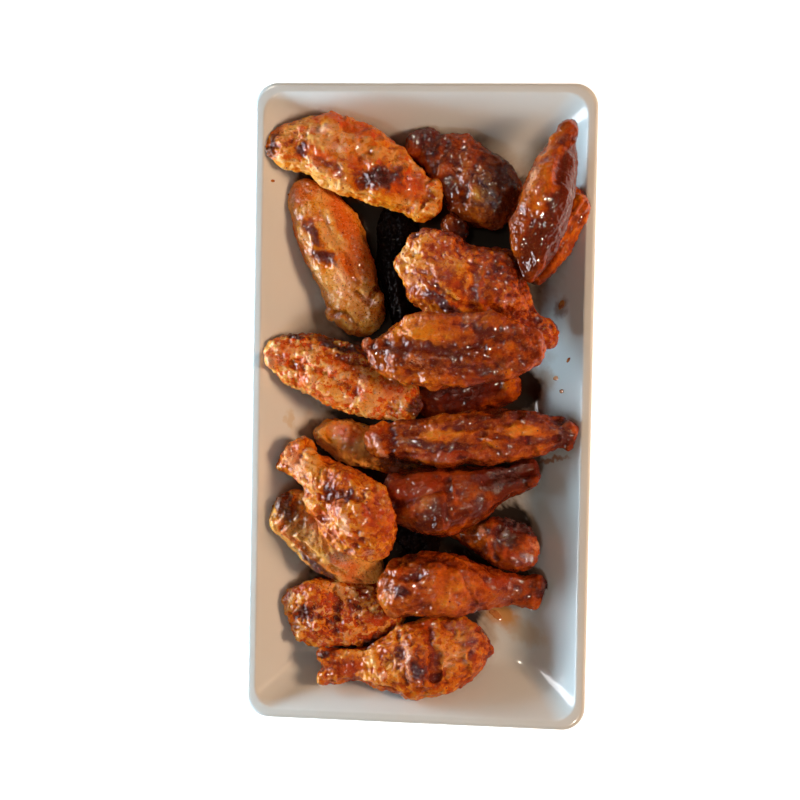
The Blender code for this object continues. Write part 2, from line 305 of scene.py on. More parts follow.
@dataclass(frozen=True)
class Look:
    """How one wing piece looks.

    heading is the way its thin end points, in degrees, and tone makes it darker below 0 and lighter above. The tone is
    partly the piece's own colour and partly painted light: pieces towards the window on the left are made lighter,
    those in shade on the right darker.
    """

    node: str
    heading: float
    skin: Skin
    tone: float
    features: tuple[Patch | Knob | Crease, ...] = ()

    def of_kind(self, kind: type) -> list:
        """Gives the features of one kind."""
        return [f for f in self.features if isinstance(f, kind)]

    @property
    def slot(self) -> str:
        """The record's material slot of the piece."""
        return "sauced_drumette_skin" if self.node.startswith("drumette") else "sauced_flat_skin"


C, D, G, P, S = Tint.CHAR, Tint.DARK, Tint.GOLD, Tint.PALE, Tint.SAUCE

# Many pale patches (P) are painted highlights where the window's sheen falls on the skin, and the pieces' lightness is
# partly painted light.
LOOKS = (
    Look("flat_11", -20, Skin.RUGGED, 0.26, (
        Patch(C, 0.62, -0.28, 17, 9, 30), Patch(C, 0.69, -0.1, 9, 11, -20), Patch(D, 0.62, -0.22, 24, 18, 10), Patch(C, 0.05, -0.4, 5, 11, 10, 0.95), Patch(C, 0.21, -0.28, 6, 5, 30), Patch(D, 0.13, -0.3, 18, 10),
        Patch(P, 0.26, 0.35, 16, 5, 10), Patch(P, 0.38, 0.15, 12, 8, 10, 0.8), Patch(P, 0.3, -0.45, 14, 4, -10, 0.7), Patch(P, 0.55, 0.2, 12, 5, 0, 0.6),
        Patch(G, 0.24, 0.05, 16, 7), Patch(G, 0.59, 0.4, 20, 6), Patch(G, 0.74, 0.3, 14, 7),
        Patch(S, 0.34, 0.8, 50, 8, 0, 0.9), Patch(S, 0.3, -0.2, 16, 8), Patch(S, 0.5, -0.05, 14, 8, 0, 0.8), Patch(S, 0.8, -0.2, 18, 14, 0, 0.9), Patch(G, 0.42, -0.8, 34, 4), Patch(S, 0.03, 0.2, 12, 10, 0, 0.8),
        Crease(((0.22, -0.25), (0.35, -0.35), (0.5, -0.5), (0.6, -0.66)), 1.2, 2.2),
        Crease(((0.3, -0.5), (0.45, -0.65), (0.55, -0.8)), -1.0, 2.5),
        Crease(((0.78, -0.8), (0.81, -0.3)), 0.8, 0.9), Crease(((0.83, -0.8), (0.85, -0.35)), 0.9, 0.9),
        Crease(((0.88, -0.75), (0.89, -0.3)), 0.8, 0.8), Crease(((0.3, 0.5), (0.5, 0.62), (0.66, 0.55)), -0.8, 2.0),
        Knob(0.95, -0.42, 5.5, 2.2), Knob(0.9, 0.05, 4.5, 1.5), Knob(0.16, 0.2, 5, 1.0),
    )),
    Look("drumette_01", 145, Skin.BUMPY, -0.22, (
        Patch(D, 0.88, -0.4, 10, 10, 0, 0.8), Patch(C, 0.73, -0.05, 4, 4), Patch(P, 0.55, 0.02, 7, 2.5, 40),
        Patch(G, 0.31, 0.2, 9, 8), Patch(G, 0.2, 0.4, 8, 6), Patch(D, 0.5, 0.5, 12, 8, 20, 0.5),
        Patch(G, 0.5, -0.35, 12, 6, 10, 0.6), Patch(D, 0.16, -0.5, 9, 6, 0, 0.6),
        Knob(0.33, -0.3, 3.2, 1.6), Knob(0.16, -0.45, 4.5, 1.6), Knob(0.86, -0.4, 6, 1.6), Knob(0.6, 0.1, 5, 1.2, 1.6, 40),
        Crease(((0.45, -0.7), (0.42, 0.0), (0.35, 0.6)), 1.3, 1.8), Crease(((0.72, -0.5), (0.66, 0.3)), 1.1, 1.6),
    )),
    Look("flat_10", 76, Skin.SMOOTH, -0.24, (
        Patch(P, 0.57, 0.6, 18, 3.5), Patch(G, 0.58, 0.2, 30, 11), Patch(D, 0.5, -0.62, 44, 9, 0, 0.9),
        Patch(P, 0.84, 0.22, 5, 2.5, 30, 0.7), Patch(D, 0.28, -0.2, 16, 10, 0, 0.45), Patch(D, 0.12, 0.0, 14, 10, 0, 0.5),
        Patch(S, 0.3, 0.4, 16, 6, 0, 0.5), Patch(G, 0.8, -0.1, 8, 5, 0, 0.5),
        Crease(((0.3, -0.12), (0.55, -0.3), (0.78, -0.2)), 0.9, 2.2), Crease(((0.78, 0.5), (0.85, 0.0), (0.82, -0.5)), 1.0, 1.8),
        Knob(0.94, 0.1, 4.5, 1.2), Knob(0.86, 0.35, 4, 1.2), Knob(0.56, 0.3, 8, 1.0, 2.0),
    )),
    Look("flat_01", 58, Skin.SMOOTH, -0.1, (
        Patch(D, 0.5, 0.4, 24, 7, 0, 0.8), Crease(((0.1, -0.4), (0.5, -0.55), (0.9, -0.4)), 1.2, 1.2),
        Patch(G, 0.7, -0.8, 14, 3, 0, 0.6),
    )),
    Look("drumette_02", 102, Skin.BUMPY, -0.2, (
        Knob(0.95, 0.15, 5.2, 2.0), Knob(0.93, -0.55, 5.0, 2.2), Patch(C, 0.6, 0.0, 30, 16, 0, 0.9),
        Patch(G, 0.95, -0.6, 4, 3, 0, 0.5), Crease(((0.9, -0.2), (1.0, -0.2)), 1.2, 1.4),
    )),
    Look("flat_02", -83, Skin.BURNT, -0.25, (
        Patch(C, 0.3, 0.0, 30, 20), Patch(P, 0.85, 0.0, 6, 4, 0, 0.4), Crease(((0.1, 0.0), (0.9, 0.1)), 1.0, 1.4),
    )),
    Look("flat_03", -64, Skin.TAUT, 0.42, (
        Patch(D, 0.34, -0.34, 24, 8, 8), Patch(C, 0.33, -0.36, 15, 5, 12, 0.8), Patch(D, 0.5, -0.3, 17, 13, 30), Patch(C, 0.5, -0.34, 12, 7, 40, 0.8), Patch(D, 0.21, -0.58, 12, 4),
        Patch(P, 0.64, -0.2, 18, 10, 0, 0.8), Patch(P, 0.42, -0.62, 26, 5, 0, 0.6), Patch(P, 0.2, -0.15, 14, 6, 0, 0.5),
        Patch(G, 0.4, 0.12, 20, 5), Patch(S, 0.42, 0.6, 50, 9), Patch(S, 0.6, 0.25, 18, 9, 0, 0.8), Patch(S, 0.1, -0.1, 12, 16, 0, 0.8), Patch(S, 0.3, -0.85, 30, 5, 0, 0.7),
        Patch(P, 0.82, 0.3, 6, 4, 50), Patch(P, 0.9, -0.05, 8, 5, 0, 0.7), Patch(P, 0.88, 0.65, 5, 3),
        Crease(((0.76, 0.05), (0.84, 0.22), (0.78, 0.62)), 2.0, 1.0), Crease(((0.8, -0.9), (0.84, -0.5), (0.95, -0.3)), 1.8, 1.5),
        Crease(((0.25, 0.1), (0.5, 0.2), (0.7, 0.22)), 1.0, 2.0),
        Knob(0.8, -0.95, 4.2, 2.5), Knob(0.93, 0.1, 6, 1.5), Knob(0.83, 0.62, 4, 2.0),
    )),
    Look("flat_05", -20, Skin.CRUSTY, 0.3, (
        Patch(C, 0.14, 0.6, 12, 4, 10), Patch(C, 0.4, 0.78, 26, 4), Patch(C, 0.62, 0.85, 12, 3), Patch(C, 0.97, 0.0, 9, 14),
        Patch(P, 0.27, 0.12, 7, 6), Patch(P, 0.43, 0.05, 6, 4), Patch(P, 0.61, 0.1, 9, 4, -10), Patch(P, 0.67, -0.42, 4, 3),
        Patch(P, 0.59, -0.57, 5, 4), Patch(P, 0.1, -0.2, 9, 7, 0, 0.8), Patch(P, 0.36, -0.35, 5, 5, 0, 0.7),
        Patch(S, 0.28, -0.46, 9, 8), Patch(S, 0.61, -0.16, 14, 5), Patch(S, 0.48, 0.35, 14, 6), Patch(S, 0.8, 0.2, 12, 8), Patch(S, 0.12, 0.2, 8, 8), Patch(S, 0.45, -0.75, 22, 4), Patch(D, 0.35, 0.7, 50, 9, 0, 0.6),
        Patch(G, 0.68, -0.7, 18, 3), Patch(D, 0.3, -0.9, 14, 2.5, 0, 0.7),
        Crease(((0.1, 0.35), (0.3, 0.5), (0.6, 0.6)), 1.2, 1.6), Crease(((0.2, -0.2), (0.4, -0.1), (0.6, -0.3)), 1.2, 1.4),
        Crease(((0.5, 0.3), (0.55, -0.5)), 0.8, 1.2),
        Knob(0.26, 0.2, 5, 1.2), Knob(0.08, -0.35, 5, 1.5), Knob(0.62, 0.05, 4.5, 1.2, 1.6), Knob(0.65, -0.45, 4, 1.2),
    )),
    Look("flat_12", 3, Skin.BUMPY, -0.15, (
        Patch(G, 0.36, 0.48, 30, 13), Patch(D, 0.55, 0.05, 24, 9, 0, 0.5), Patch(D, 0.78, 0.35, 20, 6, 0, 0.6),
        Patch(G, 0.7, 0.2, 4.5, 9, 0, 0.6), Patch(G, 0.82, 0.0, 6, 5), Patch(P, 0.3, -0.32, 6, 4, 30, 0.45), Patch(S, 0.6, -0.7, 40, 7, 0, 0.5),
        Patch(D, 0.2, -0.06, 12, 8, 0, 0.5), Patch(D, 0.42, -0.35, 14, 6, 0, 0.6), Patch(P, 0.02, 0.15, 4, 4, 0, 0.5),
        Crease(((0.12, 0.3), (0.3, 0.12), (0.5, -0.05), (0.62, 0.1)), 2.2, 2.4), Crease(((0.62, 0.55), (0.66, 0.0)), 1.0, 1.6),
        Crease(((0.76, 0.55), (0.75, 0.0)), 1.0, 1.4), Crease(((0.25, -0.5), (0.5, -0.6), (0.8, -0.45)), 1.0, 2.0),
        Crease(((0.15, 0.85), (0.5, 0.9), (0.9, 0.7)), -1.0, 1.8),
        Knob(0.3, 0.5, 8, 1.4, 1.5), Knob(0.02, 0.22, 3.6, 1.8), Knob(0.9, -0.3, 5, 1.2), Knob(0.16, -0.1, 6, 1.2),
    )),
    Look("drumette_05", -31, Skin.RUGGED, -0.05, (
        Patch(G, 0.1, -0.3, 18, 16), Patch(P, 0.16, -0.5, 9, 7, 0, 0.6), Patch(G, 0.34, 0.25, 20, 9, 20), Patch(D, 0.56, 0.45, 22, 22, 0, 0.75),
        Patch(C, 0.4, -0.6, 26, 5, 0, 0.9), Patch(G, 0.38, -0.4, 9, 4), Patch(S, 0.38, -0.15, 6, 5), Patch(D, 0.85, 0.1, 18, 12, 0, 0.6),
        Patch(S, 0.2, 0.25, 10, 12, 0, 0.6), Patch(D, 0.24, 0.6, 14, 6, 0, 0.6), Patch(D, 0.66, -0.1, 16, 8, 0, 0.6),
        Crease(((0.3, 0.6), (0.4, 0.35), (0.46, 0.0), (0.5, -0.3)), 1.6, 2.0), Crease(((0.12, 0.15), (0.25, 0.3), (0.35, 0.5)), 1.2, 2.0),
        Crease(((0.66, 0.75), (0.72, 0.35), (0.8, 0.2)), 2.0, 1.6), Crease(((0.25, -0.35), (0.45, -0.45)), 1.2, 1.5),
        Knob(0.1, -0.25, 10, 1.0), Knob(0.22, 0.5, 5, 1.5), Knob(0.9, 0.0, 6, 1.5), Knob(0.02, 0.15, 5, 1.5),
    )),
    Look("flat_13", 3, Skin.BUMPY, -0.18, (
        Patch(P, 0.09, -0.34, 10, 3.5, -50), Patch(G, 0.37, 0.13, 20, 5), Patch(G, 0.56, -0.28, 14, 5, 0, 0.6), Patch(G, 0.75, 0.15, 16, 6),
        Patch(P, 0.58, -0.12, 3, 3), Patch(D, 0.65, 0.75, 30, 4, 0, 0.7), Patch(D, 0.95, -0.3, 8, 5, 0, 0.8), Patch(S, 0.4, -0.6, 34, 5),
        Patch(D, 0.4, -0.4, 20, 3, 0, 0.4), Patch(S, 0.06, 0.4, 8, 8), Patch(D, 0.88, 0.4, 12, 4, 0, 0.5),
        Crease(((0.14, 0.3), (0.3, 0.35), (0.5, 0.4), (0.7, 0.55)), 1.3, 1.5), Crease(((0.12, -0.05), (0.35, -0.2), (0.6, -0.3)), 1.3, 1.6),
        Crease(((0.55, 0.2), (0.75, -0.15), (0.9, -0.1)), 1.2, 1.4), Crease(((0.11, 0.7), (0.13, 0.0), (0.12, -0.6)), 1.0, 1.8),
        Knob(0.05, 0.1, 8, 1.2), Knob(0.96, 0.38, 4.5, 1.6), Knob(0.96, -0.4, 4.5, 1.6), Knob(0.6, -0.1, 6, 0.8, 1.8),
    )),
    Look("flat_06", -18, Skin.BUMPY, 0.5, (
        Patch(D, 0.14, 0.0, 12, 14, 0, 0.8), Patch(G, 0.42, -0.3, 12, 8), Patch(P, 0.4, -0.4, 6, 4, 0, 0.7), Patch(C, 0.75, 0.0, 16, 18),
        Patch(S, 0.3, 0.3, 14, 10), Patch(D, 0.55, 0.6, 16, 5, 0, 0.6), Crease(((0.27, 0.6), (0.3, -0.5)), 1.0, 1.4), Knob(0.1, 0.1, 5, 1.5),
    )),
    Look("flat_04", 14, Skin.SMOOTH, -0.2, (
        Patch(C, 0.45, 0.2, 34, 14, 0, 0.9), Patch(G, 0.9, 0.0, 6, 8), Crease(((0.1, 0.0), (0.8, 0.1)), 1.0, 1.6),
    )),
    Look("drumette_06", 13, Skin.SMOOTH, -0.27, (
        Patch(S, 0.2, 0.5, 30, 12, 0, 0.9), Patch(D, 0.2, 0.6, 30, 12, 0, 0.6), Patch(G, 0.28, 0.05, 9, 6, 20), Patch(G, 0.18, -0.2, 10, 8, 0, 0.5),
        Patch(D, 0.4, -0.3, 9, 9, 0, 0.6), Patch(G, 0.55, 0.0, 16, 7, 0, 0.5), Patch(C, 0.8, 0.3, 26, 9), Patch(G, 0.42, -0.85, 14, 3, 0, 0.6),
        Crease(((0.1, 0.15), (0.3, 0.25), (0.42, 0.3)), 1.6, 1.6), Crease(((0.44, 0.5), (0.43, 0.0), (0.4, -0.5)), 1.4, 1.6),
        Crease(((0.47, 0.45), (0.47, 0.0)), -0.9, 1.3), Crease(((0.68, 0.3), (0.8, 0.35), (0.95, 0.3)), 2.2, 3.0),
        Knob(0.16, -0.15, 7, 1.2), Knob(0.96, 0.0, 4.5, 1.5), Knob(0.35, -0.6, 6, 1.2),
    )),
    Look("drumette_07", 140, Skin.RUGGED, 0.08, (
        Patch(D, 0.97, -0.2, 10, 12, 0, 0.8), Patch(P, 0.86, 0.15, 16, 12, 0, 1.0), Patch(P, 0.68, 0.6, 10, 6, 0, 0.8), Patch(G, 0.76, -0.15, 12, 7),
        # The dark band and chars along the deep crease are partly painted shade in its recess.
        Patch(D, 0.5, -0.08, 30, 9, -52), Patch(C, 0.56, 0.02, 7, 4, -40, 0.95), Patch(C, 0.45, -0.28, 8, 3.5, -60, 0.95),
        Patch(P, 0.43, 0.55, 8, 4, 60, 0.9), Patch(P, 0.33, 0.27, 9, 4, -50, 0.9), Patch(G, 0.34, 0.45, 6, 5), Patch(P, 0.1, 0.45, 6, 5, 0, 0.8),
        Patch(S, 0.22, -0.3, 18, 14, 0, 0.7), Patch(S, 0.5, 0.6, 8, 4), Patch(S, 0.28, 0.68, 5, 5),
        Crease(((0.68, 0.55), (0.56, 0.15), (0.45, -0.25), (0.38, -0.6)), 3.2, 3.0),
        Crease(((0.5, 0.75), (0.42, 0.42), (0.35, 0.5), (0.3, 0.42), (0.25, 0.2)), 1.4, 1.3),
        Crease(((0.9, -0.6), (0.84, 0.0), (0.86, 0.5)), 0.9, 1.5), Crease(((0.2, 0.75), (0.18, 0.35), (0.12, 0.15)), 1.2, 1.3),
        Crease(((0.84, -0.35), (0.7, -0.4), (0.6, -0.45)), -0.9, 1.4),
        Knob(0.9, 0.05, 9, 1.2), Knob(0.35, 0.3, 6, 0.8), Knob(0.1, 0.35, 6, 1.2),
    )),
    Look("flat_08", -36, Skin.TAUT, 0.52, (
        Patch(C, 0.12, 0.1, 14, 12), Patch(P, 0.38, -0.05, 14, 8, 0, 0.7), Patch(P, 0.6, -0.15, 14, 7, 0, 0.7), Patch(S, 0.5, 0.3, 34, 8, 0, 0.8), Patch(S, 0.8, -0.3, 20, 8, 0, 0.8), Patch(C, 0.6, -0.8, 30, 4),
        Patch(G, 0.82, -0.05, 16, 10), Patch(S, 0.3, -0.6, 16, 4), Patch(S, 0.16, -0.4, 8, 5),
        Crease(((0.05, 0.5), (0.12, 0.0), (0.1, -0.5)), 1.5, 1.1), Crease(((0.13, 0.6), (0.2, 0.1), (0.18, -0.5)), 1.6, 1.1),
        Crease(((0.22, 0.5), (0.28, 0.0), (0.27, -0.5)), 1.4, 1.1), Crease(((0.3, -0.55), (0.6, -0.6), (0.9, -0.4)), 1.4, 1.4),
        Knob(0.05, 0.1, 6, 1.5),
    )),
    Look("drumette_03", 164, Skin.BUMPY, -0.16, (
        Patch(P, 0.58, -0.3, 6, 5, 50, 0.9), Patch(G, 0.6, 0.2, 9, 6), Patch(D, 0.36, -0.4, 12, 8, 0, 0.8), Patch(S, 0.3, 0.2, 12, 6),
        Patch(P, 0.06, -0.3, 2.5, 7, 0, 0.8), Patch(C, 0.3, -0.9, 24, 5), Crease(((0.45, -0.7), (0.48, 0.0), (0.4, 0.6)), 1.2, 1.5),
    )),
    Look("flat_07", -75, Skin.BURNT, -0.3, (Patch(C, 0.5, 0.0, 40, 20), Crease(((0.1, 0.0), (0.9, 0.1)), 1.0, 1.4))),
    Look("drumette_08", -2, Skin.BUMPY, -0.14, (
        Patch(G, 0.45, 0.0, 22, 14), Patch(G, 0.52, 0.5, 12, 6, 0, 0.6), Patch(P, 0.1, -0.2, 7, 5, 60, 0.9), Patch(C, 0.17, -0.05, 8, 6),
        Patch(S, 0.1, 0.5, 10, 8), Patch(D, 0.33, 0.7, 16, 6, 0, 0.7), Patch(S, 0.73, 0.2, 18, 8, 0, 0.8), Patch(C, 0.99, 0.1, 5, 8), Patch(D, 0.3, -0.4, 12, 8, 0, 0.6),
        Patch(G, 0.06, -0.5, 6, 6, 0, 0.8), Patch(P, 0.17, 0.4, 8, 3, 30, 0.5),
        Crease(((0.05, 0.35), (0.2, 0.25), (0.3, 0.4)), 1.4, 1.6), Crease(((0.54, 0.6), (0.58, 0.0), (0.62, -0.4)), -0.8, 1.0),
        Crease(((0.5, 0.6), (0.54, 0.1)), 0.8, 1.0), Crease(((0.62, 0.45), (0.68, 0.0)), 0.8, 1.0),
        Knob(0.95, 0.15, 5.2, 1.5), Knob(0.93, -0.35, 5, 1.5), Knob(0.12, -0.3, 7, 1.2),
    )),
    Look("flat_09", 0, Skin.CRUSTY, 0.04, (
        Patch(C, 0.17, 0.05, 8, 7), Patch(D, 0.58, 0.5, 6, 5, 0, 0.8), Patch(D, 0.3, -0.35, 12, 10, 0, 0.55), Patch(D, 0.25, 0.6, 14, 10, 0, 0.45),
        Patch(G, 0.43, 0.82, 10, 5), Patch(G, 0.42, 0.34, 8, 6), Patch(G, 0.12, -0.66, 9, 5), Patch(G, 0.52, -0.55, 12, 5), Patch(G, 0.65, 0.65, 12, 5, 0, 0.7),
        Patch(C, 0.75, -0.8, 24, 5, 25), Patch(S, 0.75, -0.1, 14, 7), Patch(P, 0.4, 0.05, 5, 4, 0, 0.6),
        Crease(((0.42, 0.7), (0.45, 0.2), (0.42, -0.2)), 2.0, 2.0), Crease(((0.1, -0.1), (0.3, -0.02), (0.45, -0.1)), 1.6, 1.6),
        Crease(((0.38, -0.2), (0.45, -0.6)), 1.4, 1.4), Crease(((0.22, -0.3), (0.28, -0.5), (0.36, -0.42), (0.33, -0.25)), 1.0, 0.9),
        Knob(0.28, 0.55, 7, 1.5), Knob(0.3, -0.35, 6.5, 1.6), Knob(0.58, 0.5, 3.8, 2.0), Knob(0.12, -0.6, 5, 1.2), Knob(0.7, -0.1, 6, 1.0),
    )),
    Look("drumette_04", -170, Skin.RUGGED, 0.0, (
        Patch(P, 0.46, -0.1, 5, 20, 0, 0.9), Patch(D, 0.41, 0.1, 10, 18, 0), Patch(C, 0.41, 0.22, 5, 8, 20, 0.95), Patch(G, 0.65, 0.1, 18, 12), Patch(P, 0.63, 0.25, 8, 5, 0, 0.7),
        Patch(G, 0.22, 0.0, 12, 14), Patch(D, 0.05, -0.15, 8, 16, 0, 0.8), Patch(D, 0.36, 0.55, 10, 7, 0, 0.7), Patch(C, 0.94, -0.4, 8, 6),
        Patch(G, 1.0, 0.25, 7, 5, 0, 0.7), Patch(S, 0.8, 0.0, 14, 8), Patch(S, 0.4, -0.8, 16, 5), Patch(P, 0.7, -0.2, 10, 4, 10, 0.5),
        Crease(((0.34, -0.7), (0.31, -0.1), (0.33, 0.5)), 2.4, 2.0), Crease(((0.51, -0.6), (0.52, 0.0), (0.5, 0.5)), 1.8, 1.8),
        Crease(((0.11, 0.04), (0.13, 0.1)), 2.6, 1.2), Crease(((0.14, -0.6), (0.18, 0.0), (0.15, 0.5)), 1.0, 1.6),
        Knob(0.43, 0.15, 8, 1.6, 1.4, 90), Knob(0.98, 0.25, 4.2, 2.0), Knob(0.95, -0.4, 4.6, 2.0), Knob(0.2, 0.0, 9, 0.8),
    )),
)


# ------------------------------------------------------------------ finishes
@dataclass(frozen=True)
class SaucedSkin:
    """Chicken skin, deep fried and tossed in hot sauce.

    Frying browns the skin unevenly and chars what stands out. The oily sauce wets it, so that it shines sharply over a
    duller skin, glows orange where thin and turns deep red where it pools. The hollows are darkened further as painted
    shade, and the pale patches stand partly as painted highlight.
    """

    name: str
    deep: str = "621D06"
    red: str = "8C3206"
    rust: str = "B04805"
    orange: str = "D66408"
    amber: str = "E68418"
    gold: str = "EE9E48"
    saucy: str = "B83C06"
    saucy_lit: str = "DA4C08"
    pooled_sauce_and_shade: str = "62180A"
    browned: str = "66260C"
    char: str = "2A1210"
    painted_char_sheen: str = "6A403A"
    # Pale skin; also the colour of the painted highlights.
    pale: str = "EE9A6C"
    fleck: str = "F0BC78"
    coat: float = 1.0
    island_size: float = 10.0
    mottle_size: float = 2.4
    speck_size: float = 0.9
    chip_size: float = 2.6
    pore_size: float = 1.4
    ripple_size: float = 1.15

    def build(self) -> bpy.types.Material:
        """Builds the material from its colours and pattern sizes."""
        material = bpy.data.materials.new(self.name)
        material.use_nodes = True
        tree = material.node_tree
        shader = tree.nodes["Principled BSDF"]
        place = add(tree, "ShaderNodeTexCoord").outputs["Object"]
        grain = add(tree, "ShaderNodeAttribute", attribute_name="grain").outputs["Vector"]
        islands = add(tree, "ShaderNodeTexNoise", {"Vector": grain, "Scale": 1 / (self.island_size * MM), "Detail": 2.0,
                                                   "Roughness": 0.5, "Distortion": 0.7}).outputs[0]
        mottle = add(tree, "ShaderNodeTexNoise", {"Vector": grain, "Scale": 1 / (self.mottle_size * MM), "Detail": 2.5,
                                                  "Roughness": 0.6, "Distortion": 0.5}).outputs[0]
        specks = add(tree, "ShaderNodeTexNoise", {"Vector": place, "Scale": 1 / (self.speck_size * MM), "Detail": 2.0}).outputs[0]
        pores = add(tree, "ShaderNodeTexVoronoi", {"Vector": place, "Scale": 1 / (self.pore_size * MM), "Smoothness": 0.5},
                    feature="SMOOTH_F1").outputs["Distance"]
        fields = {name: add(tree, "ShaderNodeAttribute", attribute_name=name).outputs["Fac"]
                  for name in ("char", "dark", "gold", "pale", "sauce", "tone", "high", "crusty", "crust")}

        def blend(share: bpy.types.NodeSocket, under: object, over: object) -> bpy.types.NodeSocket:
            """Lays one colour over another by a share."""
            return add(tree, "ShaderNodeMix", {0: share, 6: under, 7: over}, data_type="RGBA").outputs[2]

        def step(value: bpy.types.NodeSocket, low: float, high: float, most: float) -> bpy.types.NodeSocket:
            """Rises smoothly from 0 at the low value to the most at the high one."""
            return add(tree, "ShaderNodeMapRange", {"Value": value, "From Min": low, "From Max": high, "To Max": most},
                       interpolation_type="SMOOTHSTEP").outputs[0]

        def summed(start: object, *terms: tuple[object, object]) -> bpy.types.NodeSocket:
            """Adds products to a start value."""
            for one, other in terms:
                start = add(tree, "ShaderNodeMath", {0: one, 1: other, 2: start}, operation="MULTIPLY_ADD").outputs[0]
            return start

        # A thick crust breaks the sauce up into red hollows and pale crumbs.
        wobble = add(tree, "ShaderNodeTexNoise", {"Vector": place, "Scale": 1 / (2.0 * MM), "Detail": 1.0}).outputs["Color"]
        summed_place = add(tree, "ShaderNodeVectorMath", {0: wobble, 1: (0.0025, 0.0025, 0.0025), 2: place}, operation="MULTIPLY_ADD").outputs[0]
        chips = add(tree, "ShaderNodeTexVoronoi", {"Vector": summed_place, "Scale": 1 / (self.chip_size * MM)}).outputs["Color"]
        chips = add(tree, "ShaderNodeSeparateColor", {0: chips}).outputs[0]
        rugged = summed(-0.95, (mottle, 1.0), (chips, 0.9))
        rugged = summed(0.0, (rugged, fields["crust"]))
        depth = summed(0.08, (fields["crust"], 0.34))
        # How far the sauce has thinned to gold: from the islands, the patches, the piece's lightness and the hollows.
        # The lightness is partly painted light, and the darker hollows and lighter ridges are partly painted shade.
        level = summed(-0.12, (islands, 0.75), (mottle, 0.32), (specks, 0.18), (fields["gold"], 0.30), (fields["sauce"], -0.06), (fields["tone"], 1.0),
                       (fields["high"], depth), (fields["char"], -0.28), (fields["dark"], -0.30), (rugged, 0.9))
        ramp = add(tree, "ShaderNodeValToRGB", {0: level})
        stops = ((0.18, self.deep), (0.30, self.red), (0.42, self.rust), (0.56, self.orange), (0.78, self.amber), (0.98, self.gold))
        for i, (spot, colour) in enumerate(stops):
            element = ramp.color_ramp.elements[i] if i < 2 else ramp.color_ramp.elements.new(spot)
            element.position, element.color = spot, linear(colour)
        colour = ramp.outputs[0]
        # Painted light: lighter pieces get the brighter sauce, darker pieces the deeper red one.
        sauce = blend(step(fields["tone"], -0.05, 0.20, 1.0), linear(self.saucy), linear(self.saucy_lit))
        colour = blend(step(summed(0.0, (fields["sauce"], 1.0), (mottle, 0.4)), 0.35, 1.1, 0.7), colour, sauce)
        colour = blend(step(rugged, -0.06, -0.30, 0.85), colour, sauce)

        # Sauce fills the hollows, which are darkened further as painted shade. The crust is browned in spots, and
        # stretched skin stays pale; the pale patches and the paler tops of what stands out are partly painted
        # highlight.
        colour = blend(step(fields["high"], -0.16, -0.75, 0.45), colour, linear(self.pooled_sauce_and_shade))
        browned = summed(mottle, (fields["crusty"], 0.05), (fields["high"], 0.06), (fields["sauce"], -0.1), (fields["tone"], -0.3))
        colour = blend(step(browned, 0.56, 0.78, 0.3), colour, linear(self.browned))
        ragged = summed(0.0, (mottle, 0.9), (specks, 0.45), (fields["high"], 0.20))
        colour = blend(step(summed(ragged, (fields["pale"], 0.8)), 0.95, 1.55, 0.75), colour, linear(self.pale))
        speckled = summed(fields["crusty"], (fields["pale"], 0.5))
        for low, high, most, tint in ((0.60, 0.68, 0.5, self.fleck), (0.41, 0.33, 0.6, self.browned)):
            flecks = add(tree, "ShaderNodeMath", {0: step(specks, low, high, most), 1: speckled}, operation="MULTIPLY", use_clamp=True)
            colour = blend(flecks.outputs[0], colour, linear(tint))
        # Round each char the skin is scorched a deep maroon.
        burnt = summed(ragged, (fields["char"], 0.85), (specks, 0.3))
        colour = blend(step(burnt, 0.92, 1.45, 0.75), colour, linear(self.pooled_sauce_and_shade))
        charred = step(burnt, 1.2, 1.72, 0.85)
        # Painted sheen: part of each char takes a lighter purple-grey that stands for light caught on it.
        colour = blend(charred, colour, blend(step(mottle, 0.45, 0.62, 1.0), linear(self.char), linear(self.painted_char_sheen)))
        tree.links.new(colour, shader.inputs["Base Color"])

        # The skin under the sauce is dull where it is charred and smooth where sauce lies on it.
        rough = add(tree, "ShaderNodeMapRange", {"Value": mottle, "From Min": 0.3, "From Max": 0.7, "To Min": 0.34, "To Max": 0.56}).outputs[0]
        rough = summed(rough, (charred, 0.12), (fields["sauce"], -0.12))
        tree.links.new(rough, shader.inputs["Roughness"])
        shader.inputs["IOR"].default_value = 1.45
        shader.inputs["Specular IOR Level"].default_value = 0.0
        shader.inputs["Coat Weight"].default_value = self.coat
        shader.inputs["Coat Roughness"].default_value = 0.06
        shader.inputs["Coat IOR"].default_value = 1.45
        shader.inputs["Subsurface Weight"].default_value = 0.2
        shader.inputs["Subsurface Radius"].default_value = (1.0, 0.35, 0.08)
        shader.inputs["Subsurface Scale"].default_value = 2.0 * MM

        # Pores and fine grain break up the shine; the sauce coat lies smoother over them.
        fine = summed(pores, (specks, 0.8))
        skin_bump = add(tree, "ShaderNodeBump", {"Strength": 0.6, "Distance": 0.5 * MM, "Height": fine})
        ripples = add(tree, "ShaderNodeTexNoise", {"Vector": place, "Scale": 1 / (self.ripple_size * MM), "Detail": 0.5}).outputs[0]
        wet = summed(ripples, (pores, 0.25))
        wetter = add(tree, "ShaderNodeTexNoise", {"Vector": place, "Scale": 1 / (13 * MM), "Detail": 1.0}).outputs[0]
        wet_bump = add(tree, "ShaderNodeBump", {"Strength": summed(0.25, (step(wetter, 0.40, 0.60, 1.0), 0.6)), "Distance": 0.5 * MM, "Height": wet})
        tree.links.new(skin_bump.outputs[0], shader.inputs["Normal"])
        tree.links.new(wet_bump.outputs[0], shader.inputs["Coat Normal"])
        return material


